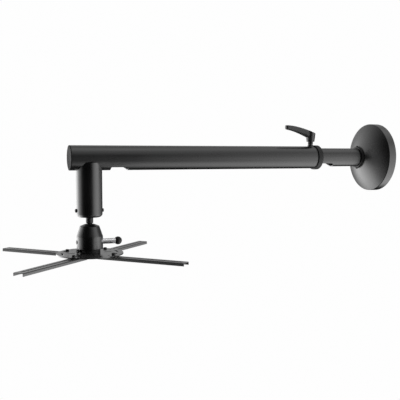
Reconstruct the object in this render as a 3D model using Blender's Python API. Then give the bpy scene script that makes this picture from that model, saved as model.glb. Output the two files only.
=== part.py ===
"""Telescopic wall arm for a projector, with a ball joint and a four-armed spider.

The wall is the plane x = 0 and the arm reaches along -X, with +Z up.
The two tubes share the axis y = z = 0. All sizes are in metres.
"""
from math import acos, asin, atan2, ceil, copysign, cos, pi, radians, sin, sqrt

import bmesh
import bpy
from mathutils import Matrix

# Fits
SEAT_GAP = 0.0003
SHANK_GAP = 0.0003

# Wall plate
WALL_PLATE_RADIUS = 0.082
WALL_PLATE_THICKNESS = 0.004
WALL_HOLE_PITCH_RADIUS = 0.062
WALL_HOLE_RADIUS = 0.00425
WALL_HOLES = 4

# Inner tube, welded to the wall plate
INNER_RADIUS = 0.025
INNER_WALL = 0.002
INNER_LENGTH = 0.6157
INNER_PORT_FROM_WALL = 0.1485
INNER_PORT_LENGTH = 0.0515
INNER_PORT_WIDTH = 0.0375

# Slide ring on the inner tube's tail
SLIDE_RING_LENGTH = 0.035
SLIDE_RING_LIP = 0.0025
SLIDE_RING_MOUTH_RADIUS = 0.021

# Outer tube
OUTER_RADIUS = 0.030
OUTER_WALL = 0.002
OUTER_LENGTH = 0.6689
MOUTH_FROM_WALL = 0.200
OUTER_PORT_FROM_END = 0.0954
OUTER_PORT_LENGTH = 0.0435
OUTER_PORT_WIDTH = 0.0395
PORT_CORNER = 0.009
PORT_CUT_PAST = 0.005

# End cap
END_CAP_FLANGE = 0.0018
END_CAP_PLUG_LENGTH = 0.012
END_CAP_WALL = 0.002
END_CAP_EDGE = 0.0006

# Front collar, a bush pressed into the outer tube's mouth
COLLAR_RADIUS = 0.033
COLLAR_SKIRT = 0.0056
COLLAR_NOSE = 0.010
COLLAR_ROUNDING = 0.0045
COLLAR_SLEEVE_LENGTH = 0.045

# Wall cover and the ring that holds it
COVER_RADIUS = 0.0933
COVER_RIM = 0.0212
COVER_RIM_ROUNDING = 0.0025
COVER_DEPTH = 0.058
COVER_NOSE_RADIUS = 0.0305
COVER_NOSE_FLAT = 0.0012
COVER_SHELL = 0.002
COVER_BULGE = 0.0024
COVER_RING_RADIUS = 0.0293
COVER_RING_LENGTH = 0.0075
RING_SCREW_RADIUS = 0.0018
RING_SCREW_HEAD_RADIUS = 0.0030
RING_SCREW_HEAD = 0.0024

# Clamp on top of the outer tube
CLAMP_FROM_MOUTH = 0.014
CLAMP_BOSS_RADIUS = 0.0076
CLAMP_BOSS_TOP_RADIUS = 0.0062
CLAMP_BOSS_HEIGHT = 0.0055
CLAMP_BOSS_TAPER = 0.0029
CLAMP_STUD_RADIUS = 0.004
CLAMP_PAD_HEIGHT = 0.0023
CLAMP_PAD_RADIUS = 0.0042
INSERT_NECK_RADIUS = 0.0055
INSERT_NECK_HEIGHT = 0.0072
INSERT_TOOTH_RADIUS = 0.0075
INSERT_TOOTH_DEPTH = 0.0006
INSERT_TEETH = 16
INSERT_HEAD_HEIGHT = 0.0107

# Clamp lever, a handle that lifts off the insert's teeth
LEVER_HUB_LOW_RADIUS = 0.0108
LEVER_HUB_TOP_RADIUS = 0.0132
LEVER_HUB_HEIGHT = 0.030
LEVER_BORE_GAP = 0.0004
LEVER_WEB = 0.003
LEVER_SCREW_RADIUS = 0.0028
LEVER_SCREW_HEAD_RADIUS = 0.005
LEVER_SCREW_HEAD = 0.003
LEVER_SCREW_DEPTH = 0.0075
LEVER_SPRING_LENGTH = 0.0068
LEVER_SPRING_WIRE = 0.0009
LEVER_SPRING_RADIUS = 0.0043
LEVER_SPRING_TURNS = 3
LEVER_SPRING_STEPS = 10
LEVER_REACH = 0.0775
LEVER_RISE = 0.0373
LEVER_ROOT_HEIGHT = 0.022
LEVER_TIP_HEIGHT = 0.0112
LEVER_ROOT_WIDTH = 0.021
LEVER_TIP_WIDTH = 0.013
LEVER_TOP_SLOPE = radians(18.5)
LEVER_HUB_FLARE_SHARE = 0.7
LEVER_TOP_DROP = 0.0015
LEVER_STATIONS = 9
LEVER_SIDES = 16
LEVER_SQUARENESS = 0.6
LEVER_SOCKET_SHARE = 0.6

# Drop tube
DROP_FROM_END = 0.0454
DROP_RADIUS = 0.0312
DROP_WALL = 0.003
DROP_LIP = 0.0113
DROP_DEPTH = 0.142
DROP_FLOOR = 0.004
DROP_ROUNDING = 0.009
PLUG_HEIGHT = 0.0207
SIDE_SCREW_FROM_BOTTOM = 0.016
SIDE_SCREW_RADIUS = 0.003
SIDE_SCREW_LENGTH = 0.014
SIDE_SCREW_HEAD_RADIUS = 0.0045
SIDE_SCREW_HEAD = 0.0032
SIDE_SCREW_EDGE = 0.0016
SIDE_SCREW_TOP_RADIUS = 0.0034
SIDE_SCREW_SOCKET_DEPTH = 0.002

# Ball stud
BALL_RADIUS = 0.014
STUD_RADIUS = 0.006
WAIST_RADIUS = 0.0062
NECK_RADIUS = 0.0088
NECK_LENGTH = 0.0146
NECK_CHAMFER = 0.0015
NECK_TO_CAP = 0.002
STUD_NUT_FLATS = 0.019
STUD_NUT_HEIGHT = 0.008
STUD_PROUD = 0.003

# Ball liner and the bell that closes round it
LINER_WALL = 0.002
LINER_HALF_HEIGHT = 0.0095
CAP_MOUTH_RADIUS = 0.0104
CAP_LIP = 0.001
CAP_TOP_RADIUS = 0.0118
CAP_RIM_RADIUS = 0.0234
CAP_HEIGHT = 0.005
CAP_EDGE = 0.0003
SEAT_BORE_RADIUS = 0.008
SEAT_FLOOR = 0.0022
CHAMBER_RADIUS = 0.0218
BELL_TOP_RADIUS = 0.0236
BELL_RADIUS = 0.0316
BELL_CONE_HEIGHT = 0.0241
BELL_SHOULDER_ROUNDING = 0.003
BELL_SHOULDER_SHARE = 1.0 / 3.0
BELL_HOLE_RUN_IN = 0.00217
BELL_SKIRT_HEIGHT = 0.0296
BELL_EDGE = 0.001
BELL_WEB = 0.0035
SOCKET_RADIUS = 0.022

# Lock screw with its ball knob, and the small screw opposite
LOCK_BELOW_SHOULDER = 0.0137
LOCK_ROD_RADIUS = 0.0066
LOCK_ROD_START = 0.0245
LOCK_TIP_RADIUS = 0.0032
LOCK_TIP_START = 0.019
LOCK_KNOB_FROM_AXIS = 0.0694
LOCK_KNOB_RADIUS = 0.0098
LOCK_KNOB_BORE_DEPTH = 0.009
RETAINER_RADIUS = 0.003
RETAINER_HEAD_RADIUS = 0.0046
RETAINER_CROWN_SHARE = 0.8
RETAINER_HEAD = 0.0018

# Hub that turns in the bell
GROOVE_RADIUS = 0.0186
GROOVE_HALF_HEIGHT = 0.0036
GROOVE_FLARE = 0.001
HUB_BORE_RADIUS = 0.008
BOSS_RADIUS = 0.025
BOSS_HEIGHT = 0.0099
BOSS_EDGE = 0.0006
HUB_SCREW_PITCH_RADIUS = 0.0145
HUB_SCREW_RADIUS = 0.0024
HUB_SCREW_HEAD_RADIUS = 0.0042
HUB_SCREW_HEAD = 0.0025
HUB_SCREW_CROWN_SHARE = 0.7
HUB_SCREW_GRIP = 0.008
HUB_SIDE_SCREW_RADIUS = 0.002
HUB_SIDE_SCREW_DEPTH = 0.008
HUB_SIDE_SCREW_COLLAR_RADIUS = 0.0030
HUB_SIDE_SCREW_COLLAR = 0.0018
HUB_SIDE_SCREW_HEAD_RADIUS = 0.0043
HUB_SIDE_SCREW_HEAD = 0.0038
HUB_SIDE_SCREW_TURN = radians(12.0)

# Spider plate
PLATE_MARGIN = 0.0139
PLATE_THICKNESS = 0.003
PLATE_EDGE = 0.0005
ARC_SLOT_WIDTH = 0.005
ARC_SLOT_FROM = radians(15.0)
ARC_SLOT_TO = radians(33.0)
SPOKE_SLOT_FROM = 0.036
SPOKE_SLOT_TO = 0.053

# Spider arms, folded channels that open downwards
ARM_TURN = radians(-1.0)
ARM_ANGLES = {
    "back_right": radians(45.0),
    "back_left": radians(135.0),
    "front_left": radians(225.0),
    "front_right": radians(315.0),
}
ARM_PIVOT_RADIUS = 0.0665
ARM_INNER_RADIUS = 0.030
ARM_REACH = 0.2582
ARM_WIDTH = 0.0262
ARM_DEPTH = 0.0074
ARM_SHEET = 0.0018
ARM_BEND = 0.0022
ARM_SLOT_WIDTH = 0.0056
ARM_SLOT_END = 0.009
SPACER_THICKNESS = 0.001
SPACER_RADIUS = 0.008
ARM_SCREW_RADIUS = 0.0025
ARM_SCREW_HEAD_RADIUS = 0.00425
ARM_SCREW_HEAD = 0.005
ARM_NUT_FLATS = 0.008
ARM_NUT_HEIGHT = 0.004
SOCKET_FLATS = 0.004
SOCKET_DEPTH = 0.0025

# Smoothness of round forms
COVER_SIDES = 48
TUBE_SIDES = 36
BELL_SIDES = 36
BALL_SIDES = 28
TURNED_SIDES = 24
SMALL_SIDES = 12
BULGE_STEPS = 5
BALL_STEP = radians(11.0)
ARC_STEPS = 3
BEND_STEPS = 2
SHARP_ANGLE = radians(35.0)
AXIS_MARK = 0.02
MERGE = 1.0e-6

# Places worked out from the sizes above
PLATE_RADIUS = ARM_PIVOT_RADIUS + PLATE_MARGIN
INNER_START_X = -(WALL_PLATE_THICKNESS + SEAT_GAP)
INNER_TAIL_X = INNER_START_X - INNER_LENGTH
BUSH_BORE = INNER_RADIUS + SEAT_GAP
OUTER_BORE = OUTER_RADIUS - OUTER_WALL
BUSH_RADIUS = OUTER_BORE - SEAT_GAP
CLAMP_HOLE_RADIUS = CLAMP_PAD_RADIUS + SHANK_GAP
DROP_X = -(OUTER_LENGTH - DROP_FROM_END)
DROP_BORE = DROP_RADIUS - DROP_WALL
NECK_TOP_Z = -(DROP_DEPTH + SEAT_GAP)
NECK_BOTTOM_Z = NECK_TOP_Z - NECK_LENGTH
CAP_TOP_Z = NECK_BOTTOM_Z - NECK_TO_CAP
LINER_RADIUS = BALL_RADIUS + SEAT_GAP + LINER_WALL
CAVITY_RADIUS = LINER_RADIUS + SEAT_GAP
CAP_MOUTH_HEIGHT = sqrt(CAVITY_RADIUS**2 - CAP_MOUTH_RADIUS**2)
BALL_Z = CAP_TOP_Z - CAP_LIP - CAP_MOUTH_HEIGHT

# Heights below are measured from the ball's centre
CAP_TOP = CAP_TOP_Z - BALL_Z
CAP_BOTTOM = CAP_TOP - CAP_HEIGHT
BELL_TOP = CAP_BOTTOM - SEAT_GAP
BELL_SHOULDER = BELL_TOP - BELL_CONE_HEIGHT
BELL_BOTTOM = BELL_SHOULDER - BELL_SKIRT_HEIGHT
SEAT_BOTTOM = -(CAVITY_RADIUS + SEAT_FLOOR)
WEB_TOP = SEAT_BOTTOM - SEAT_GAP
WEB_BOTTOM = WEB_TOP - BELL_WEB
LOCK_HEIGHT = BELL_SHOULDER - LOCK_BELOW_SHOULDER
SPIGOT_TOP = WEB_BOTTOM - SEAT_GAP
SPIGOT_RADIUS = SOCKET_RADIUS - SEAT_GAP
BOSS_TOP = BELL_BOTTOM - SEAT_GAP
BOSS_BOTTOM = BOSS_TOP - BOSS_HEIGHT
PLATE_TOP = BOSS_BOTTOM - SEAT_GAP
PLATE_BOTTOM = PLATE_TOP - PLATE_THICKNESS
SPACER_TOP = PLATE_BOTTOM - SEAT_GAP
ARM_TOP = SPACER_TOP - SPACER_THICKNESS - SEAT_GAP
ARM_NUT_TOP = ARM_TOP - ARM_SHEET - SEAT_GAP
ARM_SCREW_END = ARM_NUT_TOP - ARM_NUT_HEIGHT - SEAT_GAP


def clear_scene():
    """Remove every object of the open scene."""
    for item in list(bpy.data.objects):
        bpy.data.objects.remove(item)


def finish_of(name, colour, roughness, metallic):
    """Make a Principled material."""
    material = bpy.data.materials.new(name)
    material.use_nodes = True
    shader = material.node_tree.nodes["Principled BSDF"]
    shader.inputs["Base Color"].default_value = (*colour, 1.0)
    shader.inputs["Roughness"].default_value = roughness
    shader.inputs["Metallic"].default_value = metallic
    material.diffuse_color = (*colour, 1.0)
    return material


def mesh_from(builder, name):
    """Close a bmesh into a mesh whose faces point outwards."""
    bmesh.ops.remove_doubles(builder, verts=builder.verts, dist=MERGE)
    bmesh.ops.recalc_face_normals(builder, faces=builder.faces)
    mesh = bpy.data.meshes.new(name)
    builder.to_mesh(mesh)
    builder.free()
    return mesh


def revolved(outline, sides=TURNED_SIDES, along_x=False):
    """Spin a closed outline of (radius, distance along the axis) points."""
    builder = bmesh.new()
    axis = (1.0, 0.0, 0.0) if along_x else (0.0, 0.0, 1.0)
    verts = []
    for radius, along in outline:
        place = (along, 0.0, radius) if along_x else (radius, 0.0, along)
        verts.append(builder.verts.new(place))
    edges = []
    for index, vert in enumerate(verts):
        following = (index + 1) % len(verts)
        if outline[index][0] > 0.0 or outline[following][0] > 0.0:
            edges.append(builder.edges.new((vert, verts[following])))
    bmesh.ops.spin(
        builder, geom=verts + edges, axis=axis, cent=(0.0, 0.0, 0.0),
        angle=2.0 * pi, steps=sides, use_merge=True,
    )
    return mesh_from(builder, "revolved")


def add_prism(builder, outline, low, high):
    """Extrude a flat outline of (x, y) points from height low to high."""
    verts = [builder.verts.new((x, y, low)) for x, y in outline]
    face = builder.faces.new(verts)
    swept = bmesh.ops.extrude_face_region(builder, geom=[face])["geom"]
    moved = [item for item in swept if isinstance(item, bmesh.types.BMVert)]
    bmesh.ops.translate(builder, verts=moved, vec=(0.0, 0.0, high - low))


def prisms(outlines, low, high, turn=None):
    """Several prisms of one height in one mesh, turned by a matrix if given."""
    builder = bmesh.new()
    for outline in outlines:
        add_prism(builder, outline, low, high)
    if turn is not None:
        bmesh.ops.transform(builder, matrix=turn, verts=builder.verts)
    return mesh_from(builder, "prisms")


def arc(radius, start, end, steps=ARC_STEPS, centre=(0.0, 0.0)):
    """Points on an arc, both ends included."""
    points = []
    for step in range(steps + 1):
        angle = start + (end - start) * step / steps
        points.append((centre[0] + radius * cos(angle), centre[1] + radius * sin(angle)))
    return points


def ball_arc(radius, start, end):
    """Arc with steps fine enough for the ball joint's close fits."""
    return arc(radius, start, end, ceil(abs(end - start) / BALL_STEP))


def circle(radius, sides, centre=(0.0, 0.0), first=0.0):
    """Corners of a regular polygon."""
    points = []
    for side in range(sides):
        angle = first + 2.0 * pi * side / sides
        points.append((centre[0] + radius * cos(angle), centre[1] + radius * sin(angle)))
    return points


def hexagon(flats, centre=(0.0, 0.0)):
    """A hexagon from its width across flats."""
    return circle(flats / sqrt(3.0), 6, centre)


def rounded_rectangle(length, width, corner, centre=(0.0, 0.0), steps=ARC_STEPS):
    """A rectangle with round corners, length along x."""
    reach = length / 2.0 - corner
    rise = width / 2.0 - corner
    points = []
    for quarter, (side, level) in enumerate(((1, 1), (-1, 1), (-1, -1), (1, -1))):
        corner_centre = (centre[0] + side * reach, centre[1] + level * rise)
        start = quarter * pi / 2.0
        points += arc(corner, start, start + pi / 2.0, steps, corner_centre)
    return points


def straight_slot(length, width, centre=(0.0, 0.0), steps=ARC_STEPS):
    """A slot with half-round ends, length along x."""
    reach = length / 2.0 - width / 2.0
    right = arc(width / 2.0, -pi / 2.0, pi / 2.0, steps, (centre[0] + reach, centre[1]))
    left = arc(width / 2.0, pi / 2.0, 3.0 * pi / 2.0, steps, (centre[0] - reach, centre[1]))
    return right + left


def curved_slot(radius, width, start, end, steps=ARC_STEPS):
    """A slot with half-round ends that follows a circle."""
    half = width / 2.0
    last = (radius * cos(end), radius * sin(end))
    first = (radius * cos(start), radius * sin(start))
    points = arc(radius + half, start, end, steps)
    points += arc(half, end, end + pi, steps, last)[1:-1]
    points += arc(radius - half, end, start, steps)
    points += arc(half, start + pi, start + 2.0 * pi, steps, first)[1:-1]
    return points


def turned_outline(outline, angle):
    """Turn a flat outline round the origin."""
    return [(x * cos(angle) - y * sin(angle), x * sin(angle) + y * cos(angle)) for x, y in outline]


def new_piece(name, mesh, finish):
    """Add an object for a mesh, at the origin for now."""
    mesh.name = name
    mesh.materials.clear()
    mesh.materials.append(finish)
    piece = bpy.data.objects.new(name, mesh)
    bpy.context.scene.collection.objects.link(piece)
    return piece


def combine(piece, tool_mesh, operation, location=(0.0, 0.0, 0.0), rotation=(0.0, 0.0, 0.0)):
    """Cut a piece with a mesh, or join the mesh to it, and keep the result."""
    tool = bpy.data.objects.new("tool", tool_mesh)
    bpy.context.scene.collection.objects.link(tool)
    tool.location = location
    tool.rotation_euler = rotation
    modifier = piece.modifiers.new("shape", "BOOLEAN")
    modifier.operation = operation
    modifier.solver = "EXACT"
    modifier.object = tool
    bpy.context.view_layer.update()
    evaluated = piece.evaluated_get(bpy.context.evaluated_depsgraph_get())
    mesh = bpy.data.meshes.new_from_object(evaluated)
    finish = piece.data.materials[0]
    piece.modifiers.clear()
    piece.data = mesh
    mesh.materials.clear()
    mesh.materials.append(finish)
    mesh.name = piece.name
    bpy.data.objects.remove(tool)


def cut(piece, tool_mesh, location=(0.0, 0.0, 0.0), rotation=(0.0, 0.0, 0.0)):
    """Take a mesh's volume out of a piece."""
    combine(piece, tool_mesh, "DIFFERENCE", location, rotation)


def join(piece, tool_mesh, location=(0.0, 0.0, 0.0), rotation=(0.0, 0.0, 0.0)):
    """Fuse a mesh's volume with a piece."""
    combine(piece, tool_mesh, "UNION", location, rotation)


def place(piece, parent, location=(0.0, 0.0, 0.0), rotation=(0.0, 0.0, 0.0)):
    """Hang a finished piece on its parent and shade its round faces smooth."""
    piece.data.shade_smooth()
    piece.data.set_sharp_from_angle(angle=SHARP_ANGLE)
    piece.parent = parent
    piece.location = location
    piece.rotation_euler = rotation
    return piece


def axis_point(name, parent, location, rotation=(0.0, 0.0, 0.0)):
    """An empty on a joint's axis or centre, to carry the pieces that move there."""
    empty = bpy.data.objects.new(name, None)
    bpy.context.scene.collection.objects.link(empty)
    empty.empty_display_size = AXIS_MARK
    empty.parent = parent
    empty.location = location
    empty.rotation_euler = rotation
    return empty


def rod_mesh(radius, start, end, sides=SMALL_SIDES, along_x=False):
    """A plain round bar."""
    return revolved([(0.0, start), (radius, start), (radius, end), (0.0, end)], sides, along_x)


def wall_plate(finish):
    """Flat steel disc with four holes for the wall screws."""
    back = 0.0
    front = -WALL_PLATE_THICKNESS
    outline = [(0.0, front), (WALL_PLATE_RADIUS, front), (WALL_PLATE_RADIUS, back), (0.0, back)]
    piece = new_piece("wall_plate", revolved(outline, TUBE_SIDES, along_x=True), finish)
    spots = circle(WALL_HOLE_PITCH_RADIUS, WALL_HOLES, first=pi / WALL_HOLES)
    holes = [circle(WALL_HOLE_RADIUS, TURNED_SIDES, spot) for spot in spots]
    past = WALL_PLATE_THICKNESS
    cut(piece, prisms(holes, -2.0 * past, past, Matrix.Rotation(pi / 2.0, 4, "Y")))
    return place(piece, None)


def port_cutter(length, width, radius):
    """Prism that opens a tube's underside, centred on its own x."""
    outline = rounded_rectangle(length, width, PORT_CORNER)
    return prisms([outline], -(radius + PORT_CUT_PAST), -radius / 2.0)


def inner_tube(finish):
    """Tube welded to the wall plate, with the cable port in its underside."""
    bore = INNER_RADIUS - INNER_WALL
    outline = [(bore, INNER_TAIL_X), (INNER_RADIUS, INNER_TAIL_X)]
    outline += [(INNER_RADIUS, INNER_START_X), (bore, INNER_START_X)]
    piece = new_piece("inner_tube", revolved(outline, TUBE_SIDES, along_x=True), finish)
    port_x = -(INNER_PORT_FROM_WALL + INNER_PORT_LENGTH / 2.0)
    cut(piece, port_cutter(INNER_PORT_LENGTH, INNER_PORT_WIDTH, INNER_RADIUS), (port_x, 0.0, 0.0))
    return place(piece, None)


def slide_ring(finish):
    """Plastic ring on the inner tube's tail that runs in the outer tube."""
    lip_start = INNER_TAIL_X - SEAT_GAP
    lip_end = lip_start - SLIDE_RING_LIP
    outline = [(BUSH_BORE, INNER_TAIL_X + SLIDE_RING_LENGTH), (BUSH_RADIUS, INNER_TAIL_X + SLIDE_RING_LENGTH)]
    outline += [(BUSH_RADIUS, lip_end), (SLIDE_RING_MOUTH_RADIUS, lip_end)]
    outline += [(SLIDE_RING_MOUTH_RADIUS, lip_start), (BUSH_BORE, lip_start)]
    piece = new_piece("slide_ring", revolved(outline, TUBE_SIDES, along_x=True), finish)
    return place(piece, None)


def bulged(start, end, bulge, steps=BULGE_STEPS):
    """Points between two ends on a shallow arch, the ends left out."""
    run = end[0] - start[0]
    rise = end[1] - start[1]
    length = sqrt(run**2 + rise**2)
    points = []
    for step in range(1, steps):
        share = step / steps
        lift = 4.0 * bulge * share * (1.0 - share)
        across = start[0] + run * share - lift * rise / length
        along = start[1] + rise * share + lift * run / length
        points.append((across, along))
    return points


def wall_cover(finish):
    """Spun shell that hides the wall plate: a rim, a round edge, a full cone and a nose."""
    rim_turn = COVER_RADIUS - COVER_RIM_ROUNDING
    turn_x = -COVER_RIM
    cone_rise = COVER_DEPTH - COVER_RIM - COVER_RIM_ROUNDING
    cone_run = rim_turn - COVER_NOSE_RADIUS
    edge_turn = pi / 2.0 - atan2(cone_rise, cone_run)
    back = -SEAT_GAP
    nose = -COVER_DEPTH
    nose_face = COVER_NOSE_RADIUS - COVER_NOSE_FLAT
    outer = [(rim_turn + reach, turn_x - rise) for reach, rise in arc(COVER_RIM_ROUNDING, 0.0, edge_turn)]
    inner_rounding = COVER_RIM_ROUNDING - COVER_SHELL
    inner = [(rim_turn + reach, turn_x - rise) for reach, rise in arc(inner_rounding, edge_turn, 0.0)]
    nose_edge = (COVER_NOSE_RADIUS, nose + COVER_NOSE_FLAT)
    nose_inside = (nose_face, nose + COVER_SHELL)
    outline = [(COVER_RADIUS, back)] + outer
    outline += bulged(outer[-1], nose_edge, COVER_BULGE)
    outline += [nose_edge, (nose_face, nose), (BUSH_BORE, nose), (BUSH_BORE, nose + COVER_SHELL), nose_inside]
    outline += bulged(nose_inside, inner[0], -COVER_BULGE)
    outline += inner + [(COVER_RADIUS - COVER_SHELL, back)]
    piece = new_piece("wall_cover", revolved(outline, COVER_SIDES, along_x=True), finish)
    return place(piece, None)


def cover_ring(finish):
    """Ring in front of the cover, with a screw above and below."""
    right = -(COVER_DEPTH + SEAT_GAP)
    left = right - COVER_RING_LENGTH
    outline = [(BUSH_BORE, left), (COVER_RING_RADIUS, left), (COVER_RING_RADIUS, right), (BUSH_BORE, right)]
    piece = new_piece("cover_ring", revolved(outline, TUBE_SIDES, along_x=True), finish)
    hole = rod_mesh(RING_SCREW_RADIUS + SHANK_GAP, -2.0 * COVER_RING_RADIUS, 2.0 * COVER_RING_RADIUS)
    cut(piece, hole, ((left + right) / 2.0, 0.0, 0.0))
    return place(piece, None)


def cover_ring_screw(name, turn, finish):
    """Small screw through the ring, above or below the tube."""
    middle = -(COVER_DEPTH + SEAT_GAP + COVER_RING_LENGTH / 2.0)
    head_low = COVER_RING_RADIUS + SEAT_GAP
    head_high = head_low + RING_SCREW_HEAD
    outline = [(0.0, BUSH_BORE), (RING_SCREW_RADIUS, BUSH_BORE), (RING_SCREW_RADIUS, head_low)]
    outline += [(RING_SCREW_HEAD_RADIUS, head_low), (RING_SCREW_HEAD_RADIUS, head_high), (0.0, head_high)]
    piece = new_piece(name, revolved(outline, SMALL_SIDES), finish)
    return place(piece, None, (middle, 0.0, 0.0), (turn, 0.0, 0.0))


def outer_tube(finish, carriage):
    """Large tube, with a cable port below and the clamp's hole above."""
    end = -OUTER_LENGTH
    outline = [(OUTER_BORE, end), (OUTER_RADIUS, end), (OUTER_RADIUS, 0.0), (OUTER_BORE, 0.0)]
    piece = new_piece("outer_tube", revolved(outline, TUBE_SIDES, along_x=True), finish)
    port_x = end + OUTER_PORT_FROM_END + OUTER_PORT_LENGTH / 2.0
    cut(piece, port_cutter(OUTER_PORT_LENGTH, OUTER_PORT_WIDTH, OUTER_RADIUS), (port_x, 0.0, 0.0))
    hole = rod_mesh(CLAMP_HOLE_RADIUS, OUTER_BORE / 2.0, 2.0 * OUTER_RADIUS)
    cut(piece, hole, (-CLAMP_FROM_MOUTH, 0.0, 0.0))
    return place(piece, carriage)


def end_cap(finish, carriage):
    """Flat plastic cap with a hollow plug that presses into the tube's end."""
    inside = -OUTER_LENGTH - SEAT_GAP
    face = inside - END_CAP_FLANGE
    plug_end = inside + END_CAP_PLUG_LENGTH
    hollow = BUSH_RADIUS - END_CAP_WALL
    outline = [(0.0, face), (OUTER_RADIUS - END_CAP_EDGE, face), (OUTER_RADIUS, face + END_CAP_EDGE)]
    outline += [(OUTER_RADIUS, inside), (BUSH_RADIUS, inside), (BUSH_RADIUS, plug_end)]
    outline += [(hollow, plug_end), (hollow, inside), (0.0, inside)]
    piece = new_piece("end_cap", revolved(outline, TUBE_SIDES, along_x=True), finish)
    return place(piece, carriage)


def front_collar(finish, carriage):
    """Bush in the outer tube's mouth: a sleeve inside, a skirt outside and a round nose."""
    shoulder = COLLAR_RADIUS - COLLAR_ROUNDING
    skirt_bore = OUTER_RADIUS + SEAT_GAP
    outline = [(BUSH_BORE, -COLLAR_SLEEVE_LENGTH), (BUSH_RADIUS, -COLLAR_SLEEVE_LENGTH)]
    outline += [(BUSH_RADIUS, SEAT_GAP), (skirt_bore, SEAT_GAP), (skirt_bore, -COLLAR_SKIRT)]
    outline += [(COLLAR_RADIUS - END_CAP_EDGE, -COLLAR_SKIRT), (COLLAR_RADIUS, -COLLAR_SKIRT + END_CAP_EDGE)]
    outline += arc(COLLAR_ROUNDING, 0.0, pi / 2.0, ARC_STEPS, (shoulder, COLLAR_NOSE - COLLAR_ROUNDING))
    outline += [(BUSH_BORE, COLLAR_NOSE)]
    piece = new_piece("front_collar", revolved(outline, TUBE_SIDES, along_x=True), finish)
    hole = rod_mesh(CLAMP_HOLE_RADIUS, INNER_RADIUS / 2.0, OUTER_RADIUS)
    cut(piece, hole, (-CLAMP_FROM_MOUTH, 0.0, 0.0))
    return place(piece, carriage)


def clamp_boss(finish, clamp):
    """Threaded boss welded on the outer tube, saddled to its round."""
    top = OUTER_RADIUS + CLAMP_BOSS_HEIGHT
    low = OUTER_BORE
    bore = CLAMP_STUD_RADIUS + SHANK_GAP
    outline = [(bore, low), (CLAMP_BOSS_RADIUS, low), (CLAMP_BOSS_RADIUS, top - CLAMP_BOSS_TAPER)]
    outline += [(CLAMP_BOSS_TOP_RADIUS, top), (bore, top)]
    piece = new_piece("clamp_boss", revolved(outline, TURNED_SIDES), finish)
    span = 2.0 * CLAMP_BOSS_RADIUS
    cut(piece, rod_mesh(OUTER_RADIUS + SEAT_GAP, -span, span, TUBE_SIDES, along_x=True))
    return place(piece, clamp)


def clamp_pad(finish, clamp):
    """Brass pad that the clamp's stud presses on the inner tube."""
    low = INNER_RADIUS + SEAT_GAP
    piece = new_piece("clamp_pad", rod_mesh(CLAMP_PAD_RADIUS, low, low + CLAMP_PAD_HEIGHT), finish)
    return place(piece, clamp)


def insert_levels():
    """Heights of the clamp insert's neck and head above the tubes' axis."""
    neck_low = OUTER_RADIUS + CLAMP_BOSS_HEIGHT + SEAT_GAP
    head_low = neck_low + INSERT_NECK_HEIGHT
    return neck_low, head_low, head_low + INSERT_HEAD_HEIGHT


def clamp_insert(finish, clamp):
    """Steel insert: a stud below, a neck and a toothed head with a threaded hole."""
    neck_low, head_low, head_top = insert_levels()
    stud_end = INNER_RADIUS + SEAT_GAP + CLAMP_PAD_HEIGHT + SEAT_GAP
    outline = [(0.0, stud_end), (CLAMP_STUD_RADIUS, stud_end), (CLAMP_STUD_RADIUS, neck_low)]
    outline += [(INSERT_NECK_RADIUS, neck_low), (INSERT_NECK_RADIUS, head_low), (0.0, head_low)]
    piece = new_piece("clamp_insert", revolved(outline, SMALL_SIDES), finish)
    teeth = []
    for half_tooth in range(2 * INSERT_TEETH):
        radius = INSERT_TOOTH_RADIUS - INSERT_TOOTH_DEPTH * (half_tooth % 2)
        angle = pi * half_tooth / INSERT_TEETH
        teeth.append((radius * cos(angle), radius * sin(angle)))
    join(piece, prisms([teeth], head_low - SEAT_GAP, head_top))
    hole_low = head_top - LEVER_SCREW_DEPTH - SEAT_GAP
    cut(piece, rod_mesh(LEVER_SCREW_RADIUS + SHANK_GAP, hole_low, 2.0 * head_top))
    return place(piece, clamp)


def lever_levels():
    """Heights of the lever's foot, web and spring above the tubes' axis."""
    neck_low, head_low, head_top = insert_levels()
    foot = head_low - SEAT_GAP
    web_low = head_top + SEAT_GAP
    web_top = web_low + LEVER_WEB
    spring_low = web_top + SEAT_GAP
    return foot, web_low, web_top, spring_low, spring_low + LEVER_SPRING_LENGTH


def lever_handle_mesh(foot):
    """Loft the handle from the hub's axis out to its flared tip."""
    builder = bmesh.new()
    rings = []
    for station in range(LEVER_STATIONS):
        share = station / (LEVER_STATIONS - 1)
        ease = sin(share * pi / 2.0)
        reach = LEVER_REACH * share
        top = foot + LEVER_HUB_HEIGHT - LEVER_TOP_DROP + (LEVER_RISE - LEVER_ROOT_HEIGHT) * ease
        height = LEVER_ROOT_HEIGHT + (LEVER_TIP_HEIGHT - LEVER_ROOT_HEIGHT) * share
        width = LEVER_ROOT_WIDTH + (LEVER_TIP_WIDTH - LEVER_ROOT_WIDTH) * ease
        ring = []
        for side in range(LEVER_SIDES):
            angle = 2.0 * pi * (side + 0.5) / LEVER_SIDES
            across = copysign(abs(cos(angle)) ** LEVER_SQUARENESS, cos(angle))
            upward = copysign(abs(sin(angle)) ** LEVER_SQUARENESS, sin(angle))
            spot = (-reach, across * width / 2.0, top - height / 2.0 + upward * height / 2.0)
            ring.append(builder.verts.new(spot))
        rings.append(ring)
    for ring, following in zip(rings, rings[1:]):
        for side in range(LEVER_SIDES):
            nearby = (side + 1) % LEVER_SIDES
            builder.faces.new((ring[side], ring[nearby], following[nearby], following[side]))
    builder.faces.new(rings[0])
    builder.faces.new(rings[-1])
    return mesh_from(builder, "handle")


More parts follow.
